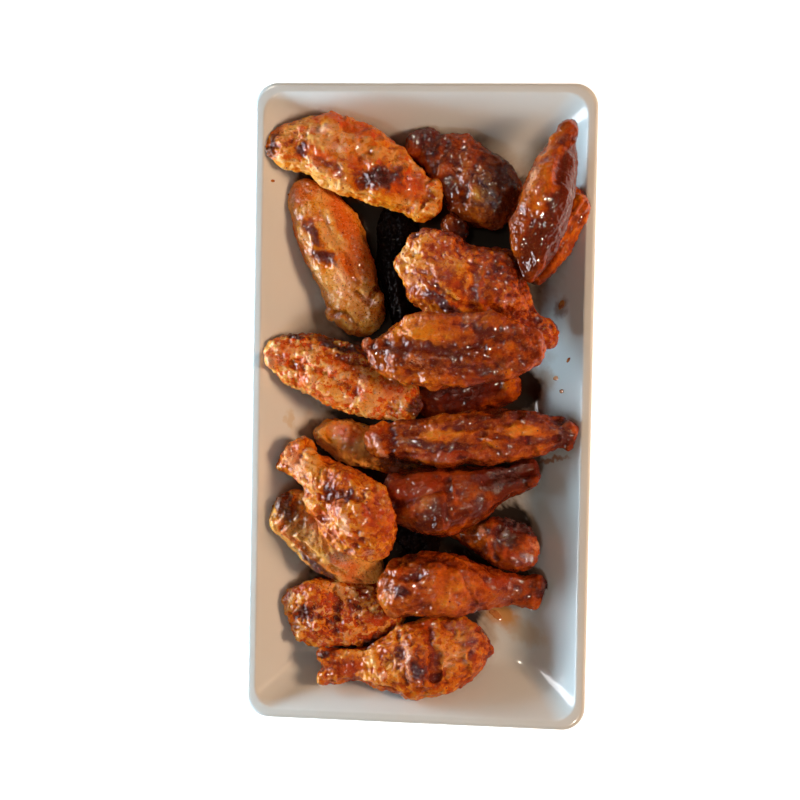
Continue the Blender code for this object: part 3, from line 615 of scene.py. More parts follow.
@dataclass(frozen=True)
class WetSauce:
    """Oily hot sauce lying in a film or drops: a strong clear shine over a saturated colour."""

    name: str
    thin: str
    thick: str
    patch_size: float = 4.0
    see_through: float = 0.0

    def build(self) -> bpy.types.Material:
        """Builds the material."""
        material = bpy.data.materials.new(self.name)
        material.use_nodes = True
        tree = material.node_tree
        shader = tree.nodes["Principled BSDF"]
        place = add(tree, "ShaderNodeTexCoord").outputs["Object"]
        blots = add(tree, "ShaderNodeTexNoise", {"Vector": place, "Scale": 1 / (self.patch_size * MM), "Detail": 3.0})
        share = add(tree, "ShaderNodeMapRange", {"Value": blots, "From Min": 0.38, "From Max": 0.62}, interpolation_type="SMOOTHSTEP")
        colour = add(tree, "ShaderNodeMix", {0: share, 6: linear(self.thin), 7: linear(self.thick)}, data_type="RGBA").outputs[2]
        tree.links.new(colour, shader.inputs["Base Color"])
        shader.inputs["Roughness"].default_value = 0.14
        shader.inputs["Coat Weight"].default_value = 1.0
        shader.inputs["Coat Roughness"].default_value = 0.04
        shader.inputs["Transmission Weight"].default_value = self.see_through
        ripple = add(tree, "ShaderNodeTexNoise", {"Vector": place, "Scale": 1 / (2.0 * MM)})
        bump = add(tree, "ShaderNodeBump", {"Strength": 0.2, "Distance": 0.3 * MM, "Height": ripple})
        tree.links.new(bump.outputs[0], shader.inputs["Normal"])
        return material


@dataclass(frozen=True)
class Smear:
    """A thin film wiped on the glaze: its place, size and turn in mm and degrees, its colour and strength."""

    x: float
    y: float
    length: float
    width: float
    turn: float
    colour: str
    strength: float


@dataclass(frozen=True)
class GlazedPorcelain:
    """White porcelain under a clear fired glaze: a hard, near mirror shine that wavers slightly."""

    name: str = "glazed_porcelain"
    glaze: str = "DFE0DC"
    warm: str = "D8D4CD"
    # The film and the near-black colour below are run-off sauce and painted shade.
    film: str = "A07A52"
    pooled_sauce_and_shade: str = "1C0B05"
    smears: tuple[Smear, ...] = (
        Smear(66, 48, 13, 8, 75, "8A5A34", 0.75), Smear(-64, -9, 5, 13, 10, "C8AC78", 0.5), Smear(63, -25, 18, 3.2, 14, "A8642C", 0.8),
        Smear(60, 14, 9, 14, 20, "B08A60", 0.5), Smear(40, -101, 24, 15, -35, "D08A34", 0.9), Smear(52, -110, 22, 14, -20, "C8AC84", 0.6),
    )

    def build(self) -> bpy.types.Material:
        """Builds the material."""
        material = bpy.data.materials.new(self.name)
        material.use_nodes = True
        tree = material.node_tree
        shader = tree.nodes["Principled BSDF"]
        place = add(tree, "ShaderNodeTexCoord").outputs["Object"]
        cloud = add(tree, "ShaderNodeTexNoise", {"Vector": place, "Scale": 1 / (60 * MM), "Detail": 2.0})
        colour = add(tree, "ShaderNodeMix", {0: cloud, 6: linear(self.glaze), 7: linear(self.warm)}, data_type="RGBA").outputs[2]
        # Under and beside the heap the glaze darkens with how much of it the wings enclose: run-off oil and sauce, and
        # painted shade that is near black in the deepest gaps.
        wet = add(tree, "ShaderNodeAttribute", attribute_name="wet").outputs["Fac"]
        blots = add(tree, "ShaderNodeTexNoise", {"Vector": place, "Scale": 1 / (7 * MM), "Detail": 3.0})
        wet = add(tree, "ShaderNodeMath", {0: blots, 1: 0.35, 2: wet}, operation="MULTIPLY_ADD").outputs[0]
        for low, high, most, tint in ((0.45, 0.90, 0.5, self.film), (0.72, 0.98, 0.97, self.pooled_sauce_and_shade)):
            share = add(tree, "ShaderNodeMapRange", {"Value": wet, "From Min": low, "From Max": high, "To Max": most}, interpolation_type="SMOOTHSTEP")
            colour = add(tree, "ShaderNodeMix", {0: share, 6: colour, 7: linear(tint)}, data_type="RGBA").outputs[2]
        warped = add(tree, "ShaderNodeTexNoise", {"Vector": place, "Scale": 1 / (4 * MM), "Detail": 3.0}).outputs["Color"]
        warped = add(tree, "ShaderNodeVectorMath", {0: warped, 1: (0.006, 0.006, 0.0), 2: place}, operation="MULTIPLY_ADD").outputs[0]
        for smear in self.smears:
            spot = add(tree, "ShaderNodeMapping", {"Vector": warped, "Location": ((smear.x + 3) * MM, (smear.y + 3) * MM, 0), "Rotation": (0, 0, math.radians(smear.turn)),
                                                   "Scale": (smear.length / 2 * MM, smear.width / 2 * MM, 1e3)}, vector_type="TEXTURE")
            away = add(tree, "ShaderNodeVectorMath", {0: spot}, operation="LENGTH").outputs["Value"]
            share = add(tree, "ShaderNodeMapRange", {"Value": away, "From Min": 1.15, "From Max": 0.35, "To Max": smear.strength}, interpolation_type="SMOOTHSTEP")
            colour = add(tree, "ShaderNodeMix", {0: share, 6: colour, 7: linear(smear.colour)}, data_type="RGBA").outputs[2]
        tree.links.new(colour, shader.inputs["Base Color"])
        shader.inputs["Roughness"].default_value = 0.16
        shader.inputs["IOR"].default_value = 1.5
        shader.inputs["Specular IOR Level"].default_value = 0.2
        shader.inputs["Coat Weight"].default_value = 0.4
        shader.inputs["Coat Roughness"].default_value = 0.03
        waver = add(tree, "ShaderNodeTexNoise", {"Vector": place, "Scale": 1 / (22 * MM), "Detail": 1.0})
        bump = add(tree, "ShaderNodeBump", {"Strength": 0.05, "Distance": 0.4 * MM, "Height": waver})
        tree.links.new(bump.outputs[0], shader.inputs["Coat Normal"])
        return material


# ------------------------------------------------------------------ the platter
@dataclass(frozen=True)
class Turn:
    """A corner of the platter's section: how far in from the rim, how high, and its radius, in mm."""

    inset: float
    height: float
    radius: float


@dataclass
class Platter:
    """The rectangular porcelain platter, lofted through its section's corners with true radii.

    Sizes are in mm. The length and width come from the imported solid's box.
    """

    rim_corner: float = 11.0
    floor_corner: float = 7.0
    wall_inset: float = 34.0
    corner_steps: int = 14
    arc_steps: int = 7
    cell: float = 2.2
    section: tuple[Turn, ...] = (
        Turn(43.5, 0.0, 0.7), Turn(39.0, 0.0, 0.7), Turn(38.2, 2.4, 1.2), Turn(24.5, 3.9, 9.0),
        Turn(5.6, 21.4, 4.0), Turn(0.0, 24.2, 1.6), Turn(0.0, 27.0, 1.75), Turn(4.5, 27.0, 1.7),
        Turn(28.6, 4.7, 13.0),
    )
    # Painted shade: spots where the deepest gaps beside the heap are darkened further.
    pools: tuple[tuple[float, float, float], ...] = ((48.0, 8.0, 10.0), (46.0, -56.0, 7.0), (-22.0, 78.0, 15.0), (32.0, 84.0, 12.0))
    tree: BVHTree | None = field(default=None, init=False)

    def profile(self) -> list[tuple[float, float]]:
        """Rounds the section's corners.

        Returns:
            (inset, height) pairs from the recess under the floor, round the lip, to the floor.
        """
        ends = [Turn(44.6, 1.1, 0.0), *self.section, Turn(38.0, 4.7, 0.0)]
        found = [(ends[0].inset, ends[0].height)]
        for before, at, after in zip(ends, ends[1:], ends[2:]):
            corner = Vector((at.inset, at.height))
            back = (Vector((before.inset, before.height)) - corner).normalized()
            on = (Vector((after.inset, after.height)) - corner).normalized()
            half = back.angle(on) / 2
            reach = at.radius / math.tan(half)
            centre = corner + (back + on).normalized() * (at.radius / math.sin(half))
            start, end = corner + back * reach - centre, corner + on * reach - centre
            swept = start.angle_signed(end)
            for step in range(self.arc_steps + 1):
                turned = Matrix.Rotation(-swept * step / self.arc_steps, 2) @ start
                found.append(tuple(centre + turned))
        return found

    def ring(self, half_size: Vector, inset: float, height: float) -> list[Vector]:
        """Gives the points of one rounded rectangle.

        Args:
            half_size: Half of the platter's width and length, in mm.
            inset: How far in from the rim it lies, in mm.
            height: Its height, in mm.

        Returns:
            Its points in metres.
        """
        share = min(1.0, max(0.0, inset) / self.wall_inset)
        corner = min(self.rim_corner + (self.floor_corner - self.rim_corner) * share, half_size.x - inset - 0.2)
        reach = (half_size.x - inset - corner, half_size.y - inset - corner)
        side_steps = (round(2 * half_size.x / self.cell), round(2 * half_size.y / self.cell))
        points = []
        for quarter, (sx, sy) in enumerate(((1, 1), (-1, 1), (-1, -1), (1, -1))):
            for step in range(self.corner_steps + 1):
                angle = math.radians(90 * (quarter + step / self.corner_steps))
                points.append(Vector((sx * reach[0] + corner * math.cos(angle),
                                      sy * reach[1] + corner * math.sin(angle), height)) * MM)
            # Even steps along the straight side to the next corner.
            start, count = points[-1], side_steps[quarter % 2]
            turned = Vector((-2 * sx * reach[0], 0, 0)) if quarter % 2 == 0 else Vector((0, -2 * sy * reach[1], 0))
            points += [start + turned * MM * (i / count) for i in range(1, count)]
        return points

    def build(self, finish: bpy.types.Material) -> bpy.types.Object:
        """Lofts the platter and puts it in place of its solid.

        Args:
            finish: The glaze.

        Returns:
            The piece.
        """
        low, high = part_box("platter")
        half_size = (high - low) / 2 / MM
        bm = bmesh.new()
        profile = self.profile()
        floor = profile[-1][1]
        inner = half_size.x - 1.0
        steps = round((inner - profile[-1][0]) / self.cell)
        profile += [(profile[-1][0] + (inner - profile[-1][0]) * (i + 1) / steps, floor) for i in range(steps)]
        # The wall gets rows of its own, so that the edge of the run-off sauce and painted shade on it runs smoothly.
        rows = profile[:1]
        for before, after in zip(profile, profile[1:]):
            count = math.ceil(math.dist(before, after) / (self.cell + 0.1))
            rows += [tuple(Vector(before).lerp(Vector(after), (i + 1) / count)) for i in range(count)]
        rings = [[bm.verts.new(p) for p in self.ring(half_size, inset, height)] for inset, height in rows]
        for lower, upper in zip(rings, rings[1:]):
            for i, vert in enumerate(lower):
                after = (i + 1) % len(lower)
                bm.faces.new((vert, lower[after], upper[after], upper[i]))
        bm.faces.new(rings[0])
        bm.faces.new(rings[-1])
        bmesh.ops.recalc_face_normals(bm, faces=bm.faces)
        bmesh.ops.triangulate(bm, faces=[f for f in bm.faces if len(f.verts) > 4])
        self.tree = BVHTree.FromBMesh(bm)
        mesh = bpy.data.meshes.new("platter_porcelain")
        bm.to_mesh(mesh)
        bm.free()
        mesh.materials.append(finish)
        piece = new_piece("platter_porcelain", mesh)
        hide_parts("platter")
        return piece

    def stain_and_shade_by(self, piece: bpy.types.Object, wings: BVHTree) -> None:
        """Marks how far the wings enclose each point of the glaze, for run-off sauce and painted shade under and beside
        the heap.

        Args:
            piece: The platter's piece.
            wings: All wings.
        """
        points, normals = mesh_points(piece.data)
        wet = np.zeros(len(points))
        rays = [Vector((math.cos(a) * math.sin(t), math.sin(a) * math.sin(t), math.cos(t)))
                for t in (0.35, 0.8, 1.2) for a in np.linspace(0, 2 * math.pi, 8, endpoint=False) + t]
        # The share of rays that the wings stop: painted shade as much as run-off sauce.
        for i in np.flatnonzero((normals[:, 2] > 0.4) & (points[:, 2] < 20 * MM)):
            spot = Vector(points[i]) + Vector((0, 0, 0.2 * MM))
            wet[i] = sum(wings.ray_cast(spot, ray, 45 * MM)[0] is not None for ray in rays) / len(rays)
        # Painted shade: the listed pools darken the deepest gaps further.
        for x, y, radius in self.pools:
            away = np.linalg.norm(points[:, :2] / MM - (x, y), axis=1) / radius
            wet += 0.6 * np.exp(-(away**3)) * (wet > 0)
        store(piece.data, "wet", wet)

    def height_at(self, x: float, y: float) -> float:
        """Gives the height of the platter's upper face.

        Args:
            x: Place across, in metres.
            y: Place along, in metres.

        Returns:
            The height in metres.
        """
        hit = self.tree.ray_cast(Vector((x, y, 0.2)), Vector((0, 0, -1)))
        return hit[0].z


# ------------------------------------------------------------------ the relief of the skin
@dataclass
class SkinRelief:
    """The node tree that raises lumps, pimples, wrinkles and crust on a wing's skin."""

    lump_size: float = 12.0
    pimple_size: float = 2.6
    wrinkle_size: float = 5.0
    crust_size: float = 2.2
    fold_size: float = 15.0
    fold_steps: float = 7.0
    tree: bpy.types.NodeTree = field(init=False)

    def __post_init__(self) -> None:
        """Builds the tree, with named inputs for its heights."""
        tree = bpy.data.node_groups.new("skin_relief", "GeometryNodeTree")
        self.tree = tree
        tree.interface.new_socket("Geometry", in_out="INPUT", socket_type="NodeSocketGeometry")
        for name in ("Heading", "Lumps", "Pimples", "Wrinkles", "Crust", "Folds"):
            tree.interface.new_socket(name, in_out="INPUT", socket_type="NodeSocketFloat")
        tree.interface.new_socket("Skin", in_out="INPUT", socket_type="NodeSocketMaterial")
        tree.interface.new_socket("Geometry", in_out="OUTPUT", socket_type="NodeSocketGeometry")
        given = add(tree, "NodeGroupInput").outputs
        place = add(tree, "GeometryNodeInputPosition").outputs[0]
        normal = add(tree, "GeometryNodeInputNormal").outputs[0]
        char = add(tree, "GeometryNodeInputNamedAttribute", {"Name": "char"}, data_type="FLOAT").outputs[0]

        lumps = add(tree, "ShaderNodeTexNoise", {"Vector": place, "Scale": 1 / (self.lump_size * MM), "Detail": 2.0}).outputs[0]
        lumps = add(tree, "ShaderNodeMapRange", {"Value": lumps, "From Min": 0.25, "From Max": 0.75, "To Min": -1.0, "To Max": 1.0}).outputs[0]
        cells = add(tree, "ShaderNodeTexVoronoi", {"Vector": place, "Scale": 1 / (self.pimple_size * MM), "Smoothness": 0.4},
                    feature="SMOOTH_F1").outputs["Distance"]
        cells = add(tree, "ShaderNodeMapRange", {"Value": cells, "From Min": 0.05, "From Max": 0.6, "To Min": 1.0, "To Max": -0.6},
                    interpolation_type="SMOOTHSTEP").outputs[0]
        areas = add(tree, "ShaderNodeTexNoise", {"Vector": place, "Scale": 1 / (17 * MM), "Detail": 1.0}).outputs[0]
        areas = add(tree, "ShaderNodeMapRange", {"Value": areas, "From Min": 0.38, "From Max": 0.6, "To Min": 0.25}, interpolation_type="SMOOTHSTEP").outputs[0]
        pimples = add(tree, "ShaderNodeMath", {0: cells, 1: areas}, operation="MULTIPLY").outputs[0]
        turned = add(tree, "ShaderNodeVectorRotate", {"Vector": place, "Angle": given["Heading"]}, rotation_type="Z_AXIS").outputs[0]
        drawn = add(tree, "ShaderNodeVectorMath", {0: turned, 1: (0.55, 1.0, 1.0)}, operation="MULTIPLY").outputs[0]
        wrinkles = add(tree, "ShaderNodeTexNoise", {"Vector": drawn, "Scale": 1 / (self.wrinkle_size * MM), "Detail": 1.0, "Distortion": 0.5}).outputs[0]
        wrinkles = add(tree, "ShaderNodeMapRange", {"Value": wrinkles, "From Min": 0.3, "From Max": 0.7, "To Min": -1.0, "To Max": 1.0}).outputs[0]
        crust = add(tree, "ShaderNodeTexNoise", {"Vector": place, "Scale": 1 / (self.crust_size * MM), "Detail": 1.0, "Roughness": 0.5}).outputs[0]
        crust = add(tree, "ShaderNodeMapRange", {"Value": crust, "From Min": 0.3, "From Max": 0.7, "To Min": -1.0, "To Max": 1.0}).outputs[0]
        charred = add(tree, "ShaderNodeMath", {0: char, 1: 0.65, 2: 0.45}, operation="MULTIPLY_ADD").outputs[0]
        crust = add(tree, "ShaderNodeMath", {0: crust, 1: charred}, operation="MULTIPLY").outputs[0]

        # Skin that overlaps in steps: a smooth field cut into terraces with steep edges.
        drawn = add(tree, "ShaderNodeVectorMath", {0: turned, 1: (0.75, 1.0, 1.0)}, operation="MULTIPLY").outputs[0]
        field_ = add(tree, "ShaderNodeTexNoise", {"Vector": drawn, "Scale": 1 / (self.fold_size * MM), "Detail": 1.5, "Distortion": 1.2}).outputs[0]
        field_ = add(tree, "ShaderNodeMath", {0: field_, 1: self.fold_steps, 2: -self.fold_steps / 2}, operation="MULTIPLY_ADD").outputs[0]
        tread = add(tree, "ShaderNodeMath", {0: field_}, operation="FLOOR").outputs[0]
        riser = add(tree, "ShaderNodeMath", {0: field_, 1: tread}, operation="SUBTRACT").outputs[0]
        riser = add(tree, "ShaderNodeMapRange", {"Value": riser, "From Min": 0.45}, interpolation_type="SMOOTHSTEP").outputs[0]
        folds = add(tree, "ShaderNodeMath", {0: tread, 1: riser}).outputs[0]

        total: object = -0.25
        for source, height in ((lumps, "Lumps"), (pimples, "Pimples"), (wrinkles, "Wrinkles"), (crust, "Crust"), (folds, "Folds")):
            total = add(tree, "ShaderNodeMath", {0: source, 1: given[height], 2: total}, operation="MULTIPLY_ADD").outputs[0]
        facing = add(tree, "ShaderNodeSeparateXYZ", {0: normal}).outputs[2]
        upper = add(tree, "ShaderNodeMapRange", {"Value": facing, "From Min": -0.6, "From Max": 0.1, "To Min": 0.35, "To Max": 1.0}).outputs[0]
        total = add(tree, "ShaderNodeMath", {0: total, 1: upper}, operation="MULTIPLY").outputs[0]
        metres = add(tree, "ShaderNodeMath", {0: total, 1: MM}, operation="MULTIPLY").outputs[0]
        push = add(tree, "ShaderNodeVectorMath", {0: normal, "Scale": metres}, operation="SCALE").outputs[0]
        raised = add(tree, "GeometryNodeSetPosition", {"Geometry": given["Geometry"], "Offset": push})
        real = add(tree, "GeometryNodeRealizeInstances", {0: raised})
        dressed = add(tree, "GeometryNodeSetMaterial", {"Geometry": real, "Material": given["Skin"]})
        add(tree, "NodeGroupOutput", {0: dressed})

    def apply(self, obj: bpy.types.Object, look: Look, skin: bpy.types.Material) -> None:
        """Raises one wing's skin.

        Args:
            obj: The wing, whose mesh is replaced.
            look: How the wing looks.
            skin: Its finish.
        """
        modifier = obj.modifiers.new("relief", "NODES")
        modifier.node_group = self.tree
        heights = dict(zip(("Lumps", "Pimples", "Wrinkles", "Crust", "Folds"), look.skin.value))
        values = {"Heading": -math.radians(look.heading), "Skin": skin, **heights}
        for item in self.tree.interface.items_tree:
            if item.in_out == "INPUT" and item.name in values:
                modifier[item.identifier] = values[item.name]
        apply_modifiers(obj)


# ------------------------------------------------------------------ one wing
@dataclass
class Wing:
    """One wing piece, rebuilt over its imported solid. voxel is the size of its skin's mesh, in mm."""

    look: Look
    node: bpy.types.Object
    voxel: float = 0.6
    rounding: int = 2
    blending: int = 4
    surroundings: int = 24
    painted_side_shade: float = 0.30
    streak: float = 0.65
    bead_room: float = 0.3

    def __post_init__(self) -> None:
        """Measures the solid along and across the piece's own direction."""
        bm = bmesh.new()
        bm.from_mesh(self.node.data)
        bmesh.ops.remove_doubles(bm, verts=bm.verts, dist=0.001 * MM)
        self.mesh = bpy.data.meshes.new(self.look.node + "_skin")
        bm.to_mesh(self.mesh)
        self.solid = BVHTree.FromBMesh(bm)
        bm.free()
        turn = math.radians(self.look.heading)
        self.forward = np.array((math.cos(turn), math.sin(turn)))
        self.across = np.array((-math.sin(turn), math.cos(turn)))
        points, _ = mesh_points(self.mesh)
        runs, sides = points[:, :2] @ self.forward, points[:, :2] @ self.across
        self.start, self.length = runs.min(), np.ptp(runs)
        self.middle, self.half_width = (sides.min() + sides.max()) / 2, np.ptp(sides) / 2
        self.top = points[:, 2].max()
        self.middle_height = (points[:, 2].max() + points[:, 2].min()) / 2

    def place(self, along: float, side: float) -> np.ndarray:
        """Gives the place in plan of a spot on the piece.

        Args:
            along: From 0 at its thick end to 1 at its thin one.
            side: From -1 to 1 across it.

        Returns:
            x and y in metres.
        """
        return self.forward * (self.start + along * self.length) + self.across * (self.middle + side * self.half_width)

    def knob_mesh(self, bm: bmesh.types.BMesh, knob: Knob) -> None:
        """Adds a knob's ellipsoid, sunk into the skin.

        Args:
            bm: The wing's mesh.
            knob: The knob.
        """
        x, y = self.place(knob.along, knob.side)
        hit = self.solid.ray_cast(Vector((x, y, 0.2)), Vector((0, 0, -1)))
        if hit[0] is None:
            near = self.solid.find_nearest(Vector((x, y, self.middle_height)))
            spot, normal = near[0], near[1]
        else:
            spot, normal = hit[0], hit[1]
        centre = spot - normal * (knob.radius - knob.rise) * MM
        size = Matrix.Diagonal((knob.radius * knob.stretch * MM, knob.radius * MM, knob.radius * MM, 1))
        turned = Matrix.Rotation(math.radians(self.look.heading + knob.turn), 4, "Z")
        bmesh.ops.create_icosphere(bm, subdivisions=3, radius=1.0, matrix=Matrix.Translation(centre) @ turned @ size)

    def base_mesh(self) -> bpy.types.Object:
        """Rounds the solid, joins the knobs to it and gives it an even, fine mesh.

        Returns:
            The wing's object.
        """
        obj = bpy.data.objects.new(self.look.node + "_skin", self.mesh)
        bpy.context.scene.collection.objects.link(obj)
        rounded = obj.modifiers.new("rounded", "SUBSURF")
        rounded.levels = rounded.render_levels = self.rounding
        apply_modifiers(obj)
        bm = bmesh.new()
        bm.from_mesh(obj.data)
        for knob in self.look.of_kind(Knob):
            self.knob_mesh(bm, knob)
        bm.to_mesh(obj.data)
        bm.free()
        voxels = obj.modifiers.new("voxels", "REMESH")
        voxels.mode, voxels.voxel_size = "VOXEL", self.voxel * MM
        blended = obj.modifiers.new("blended", "SMOOTH")
        blended.factor, blended.iterations = 0.5, self.blending
        apply_modifiers(obj)
        return obj

    def crease_depth(self, plan: np.ndarray, crease: Crease) -> np.ndarray:
        """Measures how deep a crease cuts at each point.

        Args:
            plan: The points' x and y, in metres.
            crease: The crease.

        Returns:
            The depths in metres.
        """
        corners = [self.place(*spot) for spot in crease.path]
        distance = np.full(len(plan), np.inf)
        for a, b in zip(corners, corners[1:]):
            run = b - a
            share = np.clip(((plan - a) @ run) / (run @ run), 0, 1)
            distance = np.minimum(distance, np.linalg.norm(plan - a - share[:, None] * run, axis=1))
        return crease.depth * MM * np.exp(-((distance / (crease.width * MM)) ** 2))

    def patch_share(self, plan: np.ndarray, patch: Patch) -> np.ndarray:
        """Measures how strongly a patch shows at each point.

        Args:
            plan: The points' x and y, in metres.
            patch: The patch.

        Returns:
            Shares from 0 to the patch's strength.
        """
        off = plan - self.place(patch.along, patch.side)
        turn = math.radians(patch.turn)
        run = self.forward * math.cos(turn) + self.across * math.sin(turn)
        cross = -self.forward * math.sin(turn) + self.across * math.cos(turn)
        reach = (off @ run / (patch.length * MM / 2)) ** 2 + (off @ cross / (patch.width * MM / 2)) ** 2
        return patch.strength * np.exp(-0.7 * reach**1.5)

    def build(self, relief: SkinRelief, skin: bpy.types.Material) -> bpy.types.Object:
        """Builds the wing and puts it in place of its solid.

        Args:
            relief: The tree that raises the skin.
            skin: The finish.

        Returns:
            The piece.
        """
        obj = self.base_mesh()
        mesh = obj.data
        points, normals = mesh_points(mesh)
        plan = points[:, :2]
        upper = np.clip(normals[:, 2] * 2 + 0.4, 0, 1)
        for crease in self.look.of_kind(Crease):
            points -= normals * (self.crease_depth(plan, crease) * upper)[:, None]
        mesh.vertices.foreach_set("co", points.ravel())
        mesh.update()
        above = np.clip(normals[:, 2] + 0.9, 0, 1)
        # A patch's edge wanders with the grain of the skin.
        wander = [drift(points, 6, seed) * 2.4 * MM + drift(points, 2.2, seed + 1) * 1.2 * MM for seed in (5, 15)]
        plan = plan + np.stack(wander, axis=1)
        for tint in Tint:
            shares = [self.patch_share(plan, p) for p in self.look.of_kind(Patch) if p.tint is tint]
            store(mesh, tint.value, np.max(shares, axis=0) * above if shares else np.zeros(len(points)))
        # Painted shade: the steep sides of each piece are made darker.
        sides = np.clip(0.55 - normals[:, 2], 0, 1) * self.painted_side_shade
        store(mesh, "tone", self.look.tone - sides)
        store(mesh, "crusty", np.full(len(points), self.look.skin.crust_share))
        store(mesh, "crust", np.full(len(points), self.look.skin.contrast))
        # Colours run along the piece: its own coordinates, drawn together lengthwise.
        grain = np.stack([points[:, :2] @ self.forward * self.streak, points[:, :2] @ self.across, points[:, 2]], axis=1)
        mesh.attributes.new("grain", "FLOAT_VECTOR", "POINT").data.foreach_set("vector", grain.astype(np.float32).ravel())
        relief.apply(obj, self.look, skin)
        points, _ = mesh_points(obj.data)
        points[:, 2] = np.minimum(points[:, 2], self.top - self.bead_room * MM)
        obj.data.vertices.foreach_set("co", points.ravel())
        store(obj.data, "high", standing_out(obj.data, self.surroundings))
        obj.data.shade_smooth()
        obj.data.update()
        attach(obj, ROOT)
        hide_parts(self.look.node)
        LOG.info("%s: %d faces", obj.name, len(obj.data.polygons))
        return obj


# ------------------------------------------------------------------ sauce on the platter
@dataclass(frozen=True)
class Mark:
    """A film or drop of sauce on the platter: its place and size in mm, and its turn in degrees."""

    x: float
    y: float
    length: float
    width: float
    turn: float = 0.0
    thick: float = 0.3
    ragged: float = 0.35


@dataclass
class SauceMarks:
    """Marks of one sauce, joined into one piece that lies on the platter."""

    name: str
    marks: tuple[Mark, ...]
    spokes: int = 56
    rings: int = 9
    sunk: float = 0.08

    def outline(self, mark: Mark, angle: float) -> float:
        """Gives how far a mark reaches in a direction, as a share of its size."""
        spot = Vector((math.cos(angle) * 1.6 + mark.x, math.sin(angle) * 1.6 + mark.y, mark.length))
        return 1 + mark.ragged * (noise.noise(spot) * 1.3 + noise.noise(spot * 3.1) * 0.6)

    def build(self, platter: Platter, finish: bpy.types.Material) -> bpy.types.Object:
        """Builds the marks.

        Args:
            platter: The platter that they lie on.
            finish: The sauce.

        Returns:
            The piece.
        """
        bm = bmesh.new()
        for mark in self.marks:
            turn = math.radians(mark.turn)

            def spot(share: float, angle: float, lift: float) -> bmesh.types.BMVert:
                """Adds the point of the mark at a share of its reach, lifted off the glaze."""
                reach = share * self.outline(mark, angle)
                run, cross = math.cos(angle) * reach * mark.length / 2, math.sin(angle) * reach * mark.width / 2
                x = (mark.x + run * math.cos(turn) - cross * math.sin(turn)) * MM
                y = (mark.y + run * math.sin(turn) + cross * math.cos(turn)) * MM
                return bm.verts.new((x, y, platter.height_at(x, y) + lift * MM))

            angles = [2 * math.pi * i / self.spokes for i in range(self.spokes)]
            shares = [(i + 1) / self.rings for i in range(self.rings)]
            layers = [[spot(s, a, mark.thick * math.sqrt(max(0.0, 1 - s**4)) - (self.sunk if s == 1 else 0)) for a in angles] for s in shares]
            layers += [[spot(s, a, -self.sunk) for a in angles] for s in reversed(shares[:-1])]
            for inner, outer in zip(layers, layers[1:]):
                for i in range(self.spokes):
                    after = (i + 1) % self.spokes
                    bm.faces.new((inner[i], outer[i], outer[after], inner[after]))
            for layer, lift in ((layers[0], mark.thick), (layers[-1], -self.sunk)):
                middle = spot(0.0, 0.0, lift)
                for i in range(self.spokes):
                    bm.faces.new((middle, layer[i], layer[(i + 1) % self.spokes]))
        bmesh.ops.recalc_face_normals(bm, faces=bm.faces)
        mesh = bpy.data.meshes.new(self.name)
        bm.to_mesh(mesh)
        bm.free()
        mesh.materials.append(finish)
        return new_piece(self.name, mesh)


